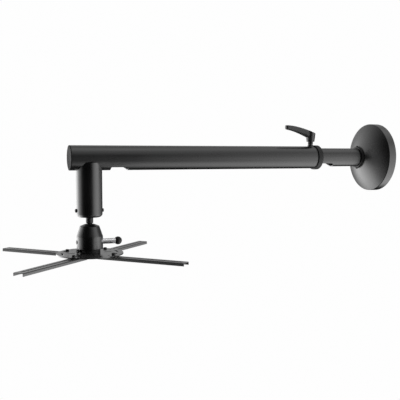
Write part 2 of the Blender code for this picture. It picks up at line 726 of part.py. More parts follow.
def clamp_lever(finish, clamp):
    """Plastic lever: a hub that drops over the insert and a rising handle."""
    foot, web_low, web_top, spring_low, spring_top = lever_levels()
    top = foot + LEVER_HUB_HEIGHT
    outline = [(0.0, foot), (LEVER_HUB_LOW_RADIUS, foot)]
    outline += [(LEVER_HUB_TOP_RADIUS, foot + LEVER_HUB_HEIGHT * LEVER_HUB_FLARE_SHARE), (LEVER_HUB_TOP_RADIUS, top), (0.0, top)]
    piece = new_piece("clamp_lever", revolved(outline, TURNED_SIDES), finish)
    span = 4.0 * LEVER_HUB_TOP_RADIUS
    slab = rounded_rectangle(span, span, COVER_SHELL, steps=1)
    hub_face = top - LEVER_HUB_TOP_RADIUS * sin(LEVER_TOP_SLOPE)
    cut(piece, prisms([slab], 0.0, LEVER_HUB_HEIGHT), (0.0, 0.0, hub_face), (0.0, LEVER_TOP_SLOPE, 0.0))
    join(piece, lever_handle_mesh(foot))
    bore = INSERT_TOOTH_RADIUS + LEVER_BORE_GAP
    cut(piece, rod_mesh(bore, foot / 2.0, web_low, TURNED_SIDES))
    cut(piece, rod_mesh(LEVER_SCREW_RADIUS + SHANK_GAP, foot, 2.0 * top))
    cut(piece, rod_mesh(LEVER_SCREW_HEAD_RADIUS + SHANK_GAP, web_top, 2.0 * top, TURNED_SIDES))
    return place(piece, clamp)


def lever_screw(finish, clamp):
    """Screw that holds the lever and its spring on the insert."""
    foot, web_low, web_top, spring_low, spring_top = lever_levels()
    head_low = spring_top + SEAT_GAP
    head_top = head_low + LEVER_SCREW_HEAD
    end = web_low - SEAT_GAP - LEVER_SCREW_DEPTH
    outline = [(0.0, end), (LEVER_SCREW_RADIUS, end), (LEVER_SCREW_RADIUS, head_low)]
    outline += [(LEVER_SCREW_HEAD_RADIUS, head_low), (LEVER_SCREW_HEAD_RADIUS, head_top), (0.0, head_top)]
    piece = new_piece("lever_screw", revolved(outline, SMALL_SIDES), finish)
    cut(piece, prisms([hexagon(SOCKET_FLATS)], head_top - LEVER_SCREW_HEAD * LEVER_SOCKET_SHARE, 2.0 * head_top))
    return place(piece, clamp)


def lever_spring(finish, clamp):
    """Coil spring that pushes the lever down on to the insert's teeth."""
    foot, web_low, web_top, spring_low, spring_top = lever_levels()
    wire = LEVER_SPRING_WIRE / 2.0
    low = spring_low + wire
    climb = LEVER_SPRING_LENGTH - LEVER_SPRING_WIRE
    steps = LEVER_SPRING_STEPS * LEVER_SPRING_TURNS
    curve = bpy.data.curves.new("spring", "CURVE")
    curve.dimensions = "3D"
    curve.bevel_depth = wire
    curve.bevel_resolution = 0
    curve.use_fill_caps = True
    line = curve.splines.new("POLY")
    line.points.add(steps)
    for step in range(steps + 1):
        angle = 2.0 * pi * LEVER_SPRING_TURNS * step / steps
        spot = (LEVER_SPRING_RADIUS * cos(angle), LEVER_SPRING_RADIUS * sin(angle), low + climb * step / steps, 1.0)
        line.points[step].co = spot
    curve.materials.append(finish)
    piece = bpy.data.objects.new("lever_spring", curve)
    bpy.context.scene.collection.objects.link(piece)
    piece.parent = clamp
    return piece


def drop_tube(finish, drop):
    """Vertical tube, saddled to the outer tube, with a round closed foot."""
    bottom = -DROP_DEPTH
    floor = bottom + DROP_FLOOR
    inner_rounding = DROP_ROUNDING - DROP_FLOOR
    hole = STUD_RADIUS + SHANK_GAP
    outline = [(DROP_BORE, -DROP_LIP), (DROP_RADIUS, -DROP_LIP)]
    outer_centre = (DROP_RADIUS - DROP_ROUNDING, bottom + DROP_ROUNDING)
    outline += arc(DROP_ROUNDING, 0.0, -pi / 2.0, ARC_STEPS, outer_centre)
    outline += [(hole, bottom), (hole, floor)]
    inner_centre = (DROP_BORE - inner_rounding, floor + inner_rounding)
    outline += arc(inner_rounding, -pi / 2.0, 0.0, BEND_STEPS, inner_centre)
    piece = new_piece("drop_tube", revolved(outline, TUBE_SIDES), finish)
    span = 2.0 * DROP_RADIUS
    cut(piece, rod_mesh(OUTER_RADIUS + SEAT_GAP, -span, span, TUBE_SIDES, along_x=True))
    screw_hole = rod_mesh(SIDE_SCREW_RADIUS + SHANK_GAP, -span, span, along_x=True)
    cut(piece, screw_hole, (0.0, 0.0, bottom + SIDE_SCREW_FROM_BOTTOM))
    return place(piece, drop)


def drop_plug(finish, drop):
    """Aluminium plug in the drop tube's foot that carries the ball stud."""
    low = -DROP_DEPTH + DROP_FLOOR + SEAT_GAP
    top = low + PLUG_HEIGHT
    bore = STUD_RADIUS + SHANK_GAP
    radius = DROP_BORE - SEAT_GAP
    chamfer = DROP_ROUNDING - DROP_FLOOR
    outline = [(bore, low), (radius - chamfer, low), (radius, low + chamfer), (radius, top), (bore, top)]
    piece = new_piece("drop_plug", revolved(outline, TUBE_SIDES), finish)
    inner = DROP_RADIUS - SIDE_SCREW_LENGTH - SEAT_GAP
    height = -DROP_DEPTH + SIDE_SCREW_FROM_BOTTOM
    for side in (-1.0, 1.0):
        start, end = sorted((side * inner, side * 2.0 * DROP_RADIUS))
        hole = rod_mesh(SIDE_SCREW_RADIUS + SHANK_GAP, start, end, along_x=True)
        cut(piece, hole, (0.0, 0.0, height))
    return place(piece, drop)


def side_screw(name, side, finish, drop):
    """Round-headed screw through the drop tube's wall into the plug."""
    tip = DROP_RADIUS - SIDE_SCREW_LENGTH
    head_low = DROP_RADIUS + SEAT_GAP
    head_top = head_low + SIDE_SCREW_HEAD
    outline = [(0.0, tip), (SIDE_SCREW_RADIUS, tip), (SIDE_SCREW_RADIUS, head_low)]
    outline += [(SIDE_SCREW_HEAD_RADIUS, head_low), (SIDE_SCREW_HEAD_RADIUS, head_low + SIDE_SCREW_EDGE)]
    outline += [(SIDE_SCREW_TOP_RADIUS, head_top), (0.0, head_top)]
    piece = new_piece(name, revolved(outline, SMALL_SIDES, along_x=True), finish)
    turn = Matrix.Rotation(pi / 2.0, 4, "Y")
    cut(piece, prisms([hexagon(SOCKET_FLATS)], head_top - SIDE_SCREW_SOCKET_DEPTH, 2.0 * head_top, turn))
    heading = 0.0 if side > 0.0 else pi
    return place(piece, drop, (0.0, 0.0, -DROP_DEPTH + SIDE_SCREW_FROM_BOTTOM), (0.0, 0.0, heading))


def plug_top():
    """Height of the plug's top face, where the stud's nut sits."""
    return -DROP_DEPTH + DROP_FLOOR + SEAT_GAP + PLUG_HEIGHT


def ball_stud(finish, ball):
    """Ball, waist, thick neck and the shank that goes up through the plug."""
    waist_height = sqrt(BALL_RADIUS**2 - WAIST_RADIUS**2)
    neck_low = NECK_BOTTOM_Z - BALL_Z
    neck_top = NECK_TOP_Z - BALL_Z
    shank_top = plug_top() + SEAT_GAP + STUD_NUT_HEIGHT + STUD_PROUD - BALL_Z
    outline = ball_arc(BALL_RADIUS, -pi / 2.0, asin(waist_height / BALL_RADIUS))
    outline[0] = (0.0, -BALL_RADIUS)
    outline += [(WAIST_RADIUS, neck_low), (NECK_RADIUS - NECK_CHAMFER, neck_low)]
    outline += [(NECK_RADIUS, neck_low + NECK_CHAMFER), (NECK_RADIUS, neck_top)]
    outline += [(STUD_RADIUS, neck_top), (STUD_RADIUS, shank_top), (0.0, shank_top)]
    piece = new_piece("ball_stud", revolved(outline, BALL_SIDES), finish)
    return place(piece, ball)


def stud_nut(finish, drop):
    """Hexagon nut that holds the stud down on the plug."""
    low = plug_top() + SEAT_GAP
    piece = new_piece("stud_nut", prisms([hexagon(STUD_NUT_FLATS)], low, low + STUD_NUT_HEIGHT), finish)
    cut(piece, rod_mesh(STUD_RADIUS + SHANK_GAP, 2.0 * low, 0.0, TURNED_SIDES))
    return place(piece, drop)


def ball_liner(finish, ball):
    """Nylon shell between the ball and the bell's socket, open above and below."""
    outer_end = asin(LINER_HALF_HEIGHT / LINER_RADIUS)
    inner_radius = BALL_RADIUS + SEAT_GAP
    inner_end = asin(LINER_HALF_HEIGHT / inner_radius)
    outline = ball_arc(LINER_RADIUS, -outer_end, outer_end)
    outline += ball_arc(inner_radius, inner_end, -inner_end)
    piece = new_piece("ball_liner", revolved(outline, BALL_SIDES), finish)
    return place(piece, ball)


def bell_cap(finish, ball):
    """Low conical ring screwed into the bell, with the socket's upper half inside."""
    parting = SEAT_GAP / 2.0
    start = asin(parting / CAVITY_RADIUS)
    end = acos(CAP_MOUTH_RADIUS / CAVITY_RADIUS)
    spigot = CHAMBER_RADIUS - SEAT_GAP
    outline = ball_arc(CAVITY_RADIUS, start, end)
    outline += [(CAP_MOUTH_RADIUS, CAP_TOP), (CAP_TOP_RADIUS, CAP_TOP)]
    outline += [(CAP_RIM_RADIUS, CAP_BOTTOM + CAP_EDGE), (CAP_RIM_RADIUS, CAP_BOTTOM)]
    outline += [(spigot, CAP_BOTTOM), (spigot, parting)]
    piece = new_piece("bell_cap", revolved(outline, BELL_SIDES), finish)
    return place(piece, ball)


def ball_seat(finish, ball):
    """Cup under the ball, the socket's lower half."""
    parting = -SEAT_GAP / 2.0
    start = asin(parting / CAVITY_RADIUS)
    end = -acos(SEAT_BORE_RADIUS / CAVITY_RADIUS)
    radius = CHAMBER_RADIUS - SEAT_GAP
    outline = ball_arc(CAVITY_RADIUS, start, end)
    outline += [(SEAT_BORE_RADIUS, SEAT_BOTTOM), (radius, SEAT_BOTTOM), (radius, parting)]
    piece = new_piece("ball_seat", revolved(outline, BALL_SIDES), finish)
    return place(piece, ball)


def bell_housing(finish, ball):
    """Bell: a chamber for the ball above a web, and a socket for the hub below."""
    shoulder_low = BELL_SHOULDER - BELL_SHOULDER_ROUNDING
    cone_step = (BELL_RADIUS - BELL_TOP_RADIUS) * BELL_SHOULDER_ROUNDING / BELL_CONE_HEIGHT
    outline = [(CHAMBER_RADIUS, BELL_TOP), (BELL_TOP_RADIUS, BELL_TOP)]
    outline += [(BELL_RADIUS - cone_step, BELL_SHOULDER + BELL_SHOULDER_ROUNDING)]
    outline += [(BELL_RADIUS - cone_step * BELL_SHOULDER_SHARE, BELL_SHOULDER), (BELL_RADIUS, shoulder_low)]
    outline += [(BELL_RADIUS, BELL_BOTTOM + BELL_EDGE), (BELL_RADIUS - BELL_EDGE, BELL_BOTTOM)]
    outline += [(SOCKET_RADIUS, BELL_BOTTOM), (SOCKET_RADIUS, WEB_BOTTOM)]
    outline += [(SEAT_BORE_RADIUS, WEB_BOTTOM), (SEAT_BORE_RADIUS, WEB_TOP), (CHAMBER_RADIUS, WEB_TOP)]
    piece = new_piece("bell_housing", revolved(outline, BELL_SIDES), finish)
    start = SPIGOT_RADIUS - BELL_HOLE_RUN_IN
    far = 2.0 * BELL_RADIUS
    place_z = (0.0, 0.0, LOCK_HEIGHT)
    cut(piece, rod_mesh(LOCK_ROD_RADIUS + SHANK_GAP, start, far, TURNED_SIDES, along_x=True), place_z)
    cut(piece, rod_mesh(RETAINER_RADIUS + SHANK_GAP, -far, -start, along_x=True), place_z)
    return place(piece, ball)


def lock_rod(finish, lock):
    """Bright rod with a narrow tip that bears in the hub's groove."""
    knob_bore_end = LOCK_KNOB_FROM_AXIS - LOCK_KNOB_RADIUS + LOCK_KNOB_BORE_DEPTH - SEAT_GAP
    chamfer = LOCK_TIP_RADIUS / 2.0
    outline = [(0.0, LOCK_TIP_START), (chamfer, LOCK_TIP_START), (LOCK_TIP_RADIUS, LOCK_TIP_START + chamfer)]
    outline += [(LOCK_TIP_RADIUS, LOCK_ROD_START), (LOCK_ROD_RADIUS, LOCK_ROD_START)]
    outline += [(LOCK_ROD_RADIUS, knob_bore_end), (0.0, knob_bore_end)]
    piece = new_piece("lock_rod", revolved(outline, TURNED_SIDES, along_x=True), finish)
    return place(piece, lock)


def lock_knob(finish, lock):
    """Plastic ball pressed on the rod's end."""
    bore = LOCK_ROD_RADIUS + SHANK_GAP
    bore_end = LOCK_KNOB_FROM_AXIS - LOCK_KNOB_RADIUS + LOCK_KNOB_BORE_DEPTH
    mouth = asin(bore / LOCK_KNOB_RADIUS)
    ball = ball_arc(LOCK_KNOB_RADIUS, 0.0, pi - mouth)
    outline = [(radius, LOCK_KNOB_FROM_AXIS + along) for along, radius in ball]
    outline[0] = (0.0, LOCK_KNOB_FROM_AXIS + LOCK_KNOB_RADIUS)
    outline += [(bore, bore_end), (0.0, bore_end)]
    piece = new_piece("lock_knob", revolved(outline, TURNED_SIDES, along_x=True), finish)
    return place(piece, lock)


def retaining_screw(finish, lock):
    """Small round-headed screw opposite the lock rod."""
    head_low = BELL_RADIUS + SEAT_GAP
    head_top = head_low + RETAINER_HEAD
    outline = [(0.0, LOCK_TIP_START), (RETAINER_RADIUS, LOCK_TIP_START), (RETAINER_RADIUS, head_low)]
    crown = RETAINER_HEAD_RADIUS * RETAINER_CROWN_SHARE
    outline += [(RETAINER_HEAD_RADIUS, head_low), (crown, head_top), (0.0, head_top)]
    piece = new_piece("retaining_screw", revolved(outline, SMALL_SIDES, along_x=True), finish)
    return place(piece, lock, rotation=(0.0, 0.0, pi))


def hub_screw_places():
    """Centres of the four screws that hold the plate to the hub."""
    return circle(HUB_SCREW_PITCH_RADIUS, 4)


def boss_middle():
    """Height of the boss's middle, where its side screw goes in."""
    return (BOSS_TOP + BOSS_BOTTOM) / 2.0


def hub_spigot(finish, ball):
    """Turned hub: a grooved spigot in the bell's socket above a wider boss."""
    groove_outer = GROOVE_HALF_HEIGHT + GROOVE_FLARE
    outline = [(HUB_BORE_RADIUS, SPIGOT_TOP), (SPIGOT_RADIUS, SPIGOT_TOP)]
    outline += [(SPIGOT_RADIUS, LOCK_HEIGHT + groove_outer), (GROOVE_RADIUS, LOCK_HEIGHT + GROOVE_HALF_HEIGHT)]
    outline += [(GROOVE_RADIUS, LOCK_HEIGHT - GROOVE_HALF_HEIGHT), (SPIGOT_RADIUS, LOCK_HEIGHT - groove_outer)]
    outline += [(SPIGOT_RADIUS, BOSS_TOP), (BOSS_RADIUS - BOSS_EDGE, BOSS_TOP), (BOSS_RADIUS, BOSS_TOP - BOSS_EDGE)]
    outline += [(BOSS_RADIUS, BOSS_BOTTOM), (HUB_BORE_RADIUS, BOSS_BOTTOM)]
    piece = new_piece("hub_spigot", revolved(outline, BELL_SIDES), finish)
    holes = [circle(HUB_SCREW_RADIUS + SHANK_GAP, SMALL_SIDES, spot) for spot in hub_screw_places()]
    cut(piece, prisms(holes, BOSS_BOTTOM - PLATE_THICKNESS, BOSS_BOTTOM + HUB_SCREW_GRIP + SEAT_GAP))
    inner = BOSS_RADIUS - HUB_SIDE_SCREW_DEPTH - SEAT_GAP
    hole = rod_mesh(HUB_SIDE_SCREW_RADIUS + SHANK_GAP, -2.0 * BOSS_RADIUS, -inner, along_x=True)
    cut(piece, hole, (0.0, 0.0, boss_middle()), (0.0, 0.0, HUB_SIDE_SCREW_TURN))
    return place(piece, ball)


def hub_side_screw(finish, ball):
    """Flat-headed screw in the side of the hub's boss."""
    tip = BOSS_RADIUS - HUB_SIDE_SCREW_DEPTH
    collar_low = BOSS_RADIUS + SEAT_GAP
    head_low = collar_low + HUB_SIDE_SCREW_COLLAR
    head_top = head_low + HUB_SIDE_SCREW_HEAD
    outline = [(0.0, tip), (HUB_SIDE_SCREW_RADIUS, tip), (HUB_SIDE_SCREW_RADIUS, collar_low)]
    outline += [(HUB_SIDE_SCREW_COLLAR_RADIUS, collar_low), (HUB_SIDE_SCREW_COLLAR_RADIUS, head_low)]
    outline += [(HUB_SIDE_SCREW_HEAD_RADIUS, head_low), (HUB_SIDE_SCREW_HEAD_RADIUS, head_top), (0.0, head_top)]
    piece = new_piece("hub_side_screw", revolved(outline, SMALL_SIDES, along_x=True), finish)
    return place(piece, ball, (0.0, 0.0, boss_middle()), (0.0, 0.0, pi + HUB_SIDE_SCREW_TURN))


def spider_plate(finish, ball):
    """Round plate with screw holes, eight curved slots and four spoke slots."""
    outline = [(HUB_BORE_RADIUS, PLATE_BOTTOM), (PLATE_RADIUS - PLATE_EDGE, PLATE_BOTTOM)]
    outline += [(PLATE_RADIUS, PLATE_BOTTOM + PLATE_EDGE), (PLATE_RADIUS, PLATE_TOP - PLATE_EDGE)]
    outline += [(PLATE_RADIUS - PLATE_EDGE, PLATE_TOP), (HUB_BORE_RADIUS, PLATE_TOP)]
    piece = new_piece("spider_plate", revolved(outline, COVER_SIDES), finish)
    openings = [circle(HUB_SCREW_RADIUS + SHANK_GAP, SMALL_SIDES, spot) for spot in hub_screw_places()]
    for angle in ARM_ANGLES.values():
        heading = angle + ARM_TURN
        spot = (ARM_PIVOT_RADIUS * cos(heading), ARM_PIVOT_RADIUS * sin(heading))
        openings.append(circle(ARM_SCREW_RADIUS + SHANK_GAP, SMALL_SIDES, spot))
        for side in (-1.0, 1.0):
            start, end = sorted((heading + side * ARC_SLOT_FROM, heading + side * ARC_SLOT_TO))
            openings.append(curved_slot(ARM_PIVOT_RADIUS, ARC_SLOT_WIDTH, start, end))
        middle = (SPOKE_SLOT_FROM + SPOKE_SLOT_TO) / 2.0
        spoke = straight_slot(SPOKE_SLOT_TO - SPOKE_SLOT_FROM, ARC_SLOT_WIDTH, (middle, 0.0))
        openings.append(turned_outline(spoke, heading - pi / 4.0))
    cut(piece, prisms(openings, PLATE_BOTTOM - PLATE_THICKNESS, PLATE_TOP + PLATE_THICKNESS))
    return place(piece, ball)


def hub_screw(name, spot, finish, ball):
    """Pan-headed screw that holds the plate to the hub from below."""
    head_top = PLATE_BOTTOM - SEAT_GAP
    head_low = head_top - HUB_SCREW_HEAD
    tip = BOSS_BOTTOM + HUB_SCREW_GRIP
    crown_top = head_low + HUB_SCREW_HEAD / 2.0
    outline = [(0.0, head_low), (HUB_SCREW_HEAD_RADIUS * HUB_SCREW_CROWN_SHARE, head_low)]
    outline += [(HUB_SCREW_HEAD_RADIUS, crown_top), (HUB_SCREW_HEAD_RADIUS, head_top)]
    outline += [(HUB_SCREW_RADIUS, head_top), (HUB_SCREW_RADIUS, tip), (0.0, tip)]
    piece = new_piece(name, revolved(outline, SMALL_SIDES), finish)
    return place(piece, ball, (*spot, 0.0))


def arm_spacer(name, spot, finish, ball):
    """Nylon ring between the plate and an arm."""
    bore = ARM_SCREW_RADIUS + SHANK_GAP
    low = SPACER_TOP - SPACER_THICKNESS
    outline = [(bore, low), (SPACER_RADIUS, low), (SPACER_RADIUS, SPACER_TOP), (bore, SPACER_TOP)]
    piece = new_piece(name, revolved(outline, TURNED_SIDES), finish)
    return place(piece, ball, (*spot, 0.0))


def channel_outline():
    """Section of a folded channel, open downwards, as (across, height) points."""
    half = ARM_WIDTH / 2.0
    inner_bend = ARM_BEND - ARM_SHEET
    outline = arc(ARM_BEND, 0.0, pi / 2.0, BEND_STEPS, (half - ARM_BEND, -ARM_BEND))
    outline += arc(ARM_BEND, pi / 2.0, pi, BEND_STEPS, (ARM_BEND - half, -ARM_BEND))
    outline += [(-half, -ARM_DEPTH), (ARM_SHEET - half, -ARM_DEPTH)]
    outline += arc(inner_bend, pi, pi / 2.0, BEND_STEPS, (ARM_BEND - half, -ARM_BEND))
    outline += arc(inner_bend, pi / 2.0, 0.0, BEND_STEPS, (half - ARM_BEND, -ARM_BEND))
    outline += [(half - ARM_SHEET, -ARM_DEPTH), (half, -ARM_DEPTH)]
    return outline


def spider_arm(name, finish, pivot):
    """Folded channel with one long slot in its web, drawn along x from the pivot."""
    inner = ARM_INNER_RADIUS - ARM_PIVOT_RADIUS
    outer = ARM_REACH - ARM_PIVOT_RADIUS
    upright = Matrix(((0, 0, 1, 0), (1, 0, 0, 0), (0, 1, 0, 0), (0, 0, 0, 1)))
    piece = new_piece(name, prisms([channel_outline()], inner, outer, upright), finish)
    slot_from = inner + ARM_SLOT_END
    slot_to = outer - ARM_SLOT_END
    slot = straight_slot(slot_to - slot_from, ARM_SLOT_WIDTH, ((slot_from + slot_to) / 2.0, 0.0))
    cut(piece, prisms([slot], -ARM_DEPTH / 2.0, ARM_DEPTH / 2.0))
    return place(piece, pivot, (0.0, 0.0, ARM_TOP))


def arm_screw(name, finish, pivot):
    """Cap screw through the plate and the arm's slot."""
    head_low = PLATE_TOP + SEAT_GAP
    head_top = head_low + ARM_SCREW_HEAD
    outline = [(0.0, ARM_SCREW_END), (ARM_SCREW_RADIUS, ARM_SCREW_END), (ARM_SCREW_RADIUS, head_low)]
    outline += [(ARM_SCREW_HEAD_RADIUS, head_low), (ARM_SCREW_HEAD_RADIUS, head_top - BOSS_EDGE)]
    outline += [(ARM_SCREW_HEAD_RADIUS - BOSS_EDGE, head_top), (0.0, head_top)]
    piece = new_piece(name, revolved(outline, SMALL_SIDES), finish)
    cut(piece, prisms([hexagon(SOCKET_FLATS)], head_top - SOCKET_DEPTH, head_top + SOCKET_DEPTH))
    return place(piece, pivot)


def arm_nut(name, finish, pivot):
    """Hexagon nut inside the arm's channel."""
    low = ARM_NUT_TOP - ARM_NUT_HEIGHT
    piece = new_piece(name, prisms([hexagon(ARM_NUT_FLATS)], low, ARM_NUT_TOP), finish)
    bore = rod_mesh(ARM_SCREW_RADIUS + SHANK_GAP, low - ARM_NUT_HEIGHT, ARM_NUT_TOP + ARM_NUT_HEIGHT)
    cut(piece, bore)
    return place(piece, pivot)


def build():
    """Model every piece and hang it where it moves."""
    clear_scene()
    paint = finish_of("black_paint", (0.028, 0.028, 0.030), 0.42, 0.0)
    sheet = finish_of("grey_black_sheet", (0.060, 0.060, 0.062), 0.38, 0.0)
    plastic = finish_of("black_plastic", (0.018, 0.018, 0.019), 0.5, 0.0)
    cap_plastic = finish_of("grey_plastic", (0.075, 0.075, 0.078), 0.55, 0.0)
    nylon = finish_of("nylon", (0.55, 0.54, 0.50), 0.5, 0.0)
    bright = finish_of("bright_steel", (0.62, 0.62, 0.63), 0.22, 1.0)
    zinc = finish_of("zinc_steel", (0.40, 0.40, 0.41), 0.35, 1.0)
    black_steel = finish_of("black_steel", (0.020, 0.020, 0.021), 0.35, 0.6)
    brass = finish_of("brass", (0.60, 0.45, 0.18), 0.35, 1.0)
    aluminium = finish_of("aluminium", (0.55, 0.56, 0.57), 0.4, 1.0)

    wall_plate(paint)
    inner_tube(paint)
    slide_ring(nylon)
    wall_cover(paint)
    cover_ring(plastic)
    cover_ring_screw("ring_screw_top", 0.0, black_steel)
    cover_ring_screw("ring_screw_bottom", pi, black_steel)

    carriage = axis_point("arm_carriage", None, (-MOUTH_FROM_WALL, 0.0, 0.0))
    outer_tube(paint, carriage)
    end_cap(cap_plastic, carriage)
    front_collar(plastic, carriage)

    clamp = axis_point("clamp_axis", carriage, (-CLAMP_FROM_MOUTH, 0.0, 0.0))
    clamp_boss(paint, clamp)
    clamp_pad(brass, clamp)
    clamp_insert(black_steel, clamp)
    clamp_lever(plastic, clamp)
    lever_screw(zinc, clamp)
    lever_spring(zinc, clamp)

    drop = axis_point("drop_axis", carriage, (DROP_X, 0.0, 0.0))
    drop_tube(paint, drop)
    drop_plug(aluminium, drop)
    side_screw("drop_screw_left", -1.0, black_steel, drop)
    side_screw("drop_screw_right", 1.0, black_steel, drop)
    stud_nut(zinc, drop)

    ball = axis_point("ball_centre", drop, (0.0, 0.0, BALL_Z))
    ball_stud(black_steel, ball)
    ball_liner(nylon, ball)
    bell_cap(paint, ball)
    ball_seat(nylon, ball)
    bell_housing(paint, ball)

    lock = axis_point("lock_axis", ball, (0.0, 0.0, LOCK_HEIGHT))
    lock_rod(bright, lock)
    lock_knob(plastic, lock)
    retaining_screw(black_steel, lock)

    hub_spigot(paint, ball)
    hub_side_screw(black_steel, ball)
    spider_plate(sheet, ball)
    for number, spot in enumerate(hub_screw_places(), start=1):
        hub_screw("hub_screw_" + str(number), spot, zinc, ball)

    for side, angle in ARM_ANGLES.items():
        heading = angle + ARM_TURN
        spot = (ARM_PIVOT_RADIUS * cos(heading), ARM_PIVOT_RADIUS * sin(heading))
        arm_spacer("arm_spacer_" + side, spot, nylon, ball)
        pivot = axis_point("pivot_" + side, ball, (*spot, 0.0), (0.0, 0.0, heading))
        spider_arm("arm_" + side, sheet, pivot)
        arm_screw("arm_screw_" + side, black_steel, pivot)
        arm_nut("arm_nut_" + side, zinc, pivot)


build()
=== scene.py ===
"""Dressed scene of a telescopic projector arm: every visible piece, its finish, the studio and the camera.

The wall is the plane x = 0, the arm reaches along -X, and +Z is up. All sizes are in metres.
"""

from collections import namedtuple
from math import asin, atan2, cos, hypot, pi, radians, sin, sqrt, tan

import bpy
from mathutils import Matrix, Vector


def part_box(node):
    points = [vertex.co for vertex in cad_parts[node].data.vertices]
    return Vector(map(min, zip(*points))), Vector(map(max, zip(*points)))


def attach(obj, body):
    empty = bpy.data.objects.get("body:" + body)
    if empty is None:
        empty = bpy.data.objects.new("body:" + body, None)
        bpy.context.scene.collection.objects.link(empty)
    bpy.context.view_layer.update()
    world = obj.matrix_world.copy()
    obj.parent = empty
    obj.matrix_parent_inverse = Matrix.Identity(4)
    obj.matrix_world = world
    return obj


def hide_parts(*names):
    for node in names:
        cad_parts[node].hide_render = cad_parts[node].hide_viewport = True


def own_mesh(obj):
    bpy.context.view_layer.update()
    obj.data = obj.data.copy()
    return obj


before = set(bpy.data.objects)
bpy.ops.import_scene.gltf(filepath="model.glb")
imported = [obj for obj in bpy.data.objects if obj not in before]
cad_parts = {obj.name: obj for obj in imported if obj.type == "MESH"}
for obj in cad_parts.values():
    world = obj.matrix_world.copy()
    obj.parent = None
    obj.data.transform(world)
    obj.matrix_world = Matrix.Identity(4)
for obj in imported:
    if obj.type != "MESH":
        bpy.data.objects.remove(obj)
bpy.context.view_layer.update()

# A screw's shank and head radius, its socket's flats and depth, and the rounding of its head
Screw = namedtuple("Screw", "shank head flats depth rounding")

# Fits, edges and smoothness. A drill runs PAST the faces it cuts.
FIT = 0.0003
PAST = 0.003
START_SIZE = 0.001
MERGE = 0.00001
FINE_EDGE = 0.0002
SMALL_EDGE = 0.0003
TUBE_EDGE = 0.0004
DISC_EDGE = 0.0005
TUBE_STEPS = 112
COVER_STEPS = 144
BELL_STEPS = 96
BALL_STEPS = 64
SMALL_STEPS = 48
HOLE_STEPS = 40
SMALL_HOLE_STEPS = 24
SMOOTH_ANGLE = radians(32.0)
SOFT_ANGLE = radians(30.0)
FACING = 0.9
ORIGIN = Vector((0.0, 0.0, 0.0))
SCREW_TIP_RADIUS_SHARE = 0.8
SCREW_TIP_LENGTH_SHARE = 0.3

# Wall plate and inner tube. An outline is a list of (radius, distance) points along the piece's axis.
PLATE_DISC_RADIUS = 0.082
PLATE_DISC_FRONT = -0.004
WALL_HOLE_OFFSET = 0.04384
WALL_HOLE_RADIUS = 0.00425
WELD_OUTLINE = [(0.0248, -0.0082), (0.0261, -0.0072), (0.0276, -0.0056), (0.0285, -0.0039), (0.0248, -0.0039)]
WELD_STEPS = 120
WELD_RIPPLE = 1.02
WELD_RIPPLE_EVERY = 4
WELD_RIPPLE_FROM = 0.0255
INNER_RADIUS = 0.025
INNER_BORE = 0.023
INNER_TAIL_X = -0.620
INNER_ROOT_X = -0.0043
INNER_PORT = (-0.200, -0.1485, 0.0375)
PORT_CORNER = 0.009
PORT_SQUARE_CORNER = 0.002
PORT_LOW = -1.3
PORT_HIGH = -0.5
SLIDE_RING = [(0.0253, -0.585), (0.0277, -0.585), (0.0277, -0.6228), (0.021, -0.6228), (0.021, -0.6203),
              (0.0253, -0.6203)]
BUSH_BORE = 0.0253

# Wall cover
COVER_RADIUS = 0.0933
COVER_RIM_X = -0.0212
COVER_ROUNDING = 0.0025
COVER_NOSE_X = -0.058
COVER_NOSE_RADIUS = 0.0305
COVER_NOSE_ROUND = 0.0012
COVER_NOSE_FACET = (0.0302, -0.0576)
COVER_SHEET = 0.0019
COVER_BULGE = 0.0024
NOSE_RING = [(0.0253, -0.0658), (0.0285, -0.0658), (0.0293, -0.0650), (0.0293, -0.0583), (0.0253, -0.0583)]
RING_HOLE_RADIUS = 0.0021
RING_HOLE_END = 0.0323
RING_SCREW_PLACE = Vector((-0.06205, 0.0, 0.0))
RING_SCREW_HEAD_Z = (0.0296, 0.0320)
RING_SCREW = Screw(shank=0.0018, head=0.0030, flats=0.0025, depth=0.0014, rounding=0.0007)

# Outer tube and its ends
OUTER_RADIUS = 0.030
OUTER_BORE = 0.028
TUBE_END_X = -0.8689
TUBE_MOUTH_X = -0.200
OUTER_PORT = (-0.7735, -0.730, 0.0395)
OUTER_PORT_SQUARE_END = (-0.7735, -0.75175, 0.0395)
CAP_OUTLINE = [(0.0, -0.8708), (0.0016, -0.8708), (0.0019, -0.8706), (0.0225, -0.8706), (0.0233, -0.8710),
               (0.0292, -0.8710), (0.02977, -0.87077), (0.030, -0.8702), (0.030, -0.8692), (0.0277, -0.8692),
               (0.0277, -0.8572), (0.0257, -0.8572), (0.0257, -0.8692), (0.0, -0.8692)]
CAP_EDGE = 0.00015
COLLAR_OUTLINE = [(0.0253, -0.245), (0.0277, -0.245), (0.0277, -0.1997), (0.0303, -0.1997), (0.0303, -0.2056),
                  (0.0324, -0.2056), (0.033, -0.2050)]
COLLAR_ROUNDING = 0.0045
COLLAR_ROUNDING_CENTRE = (0.0285, -0.1945)
COLLAR_NOSE_X = -0.190

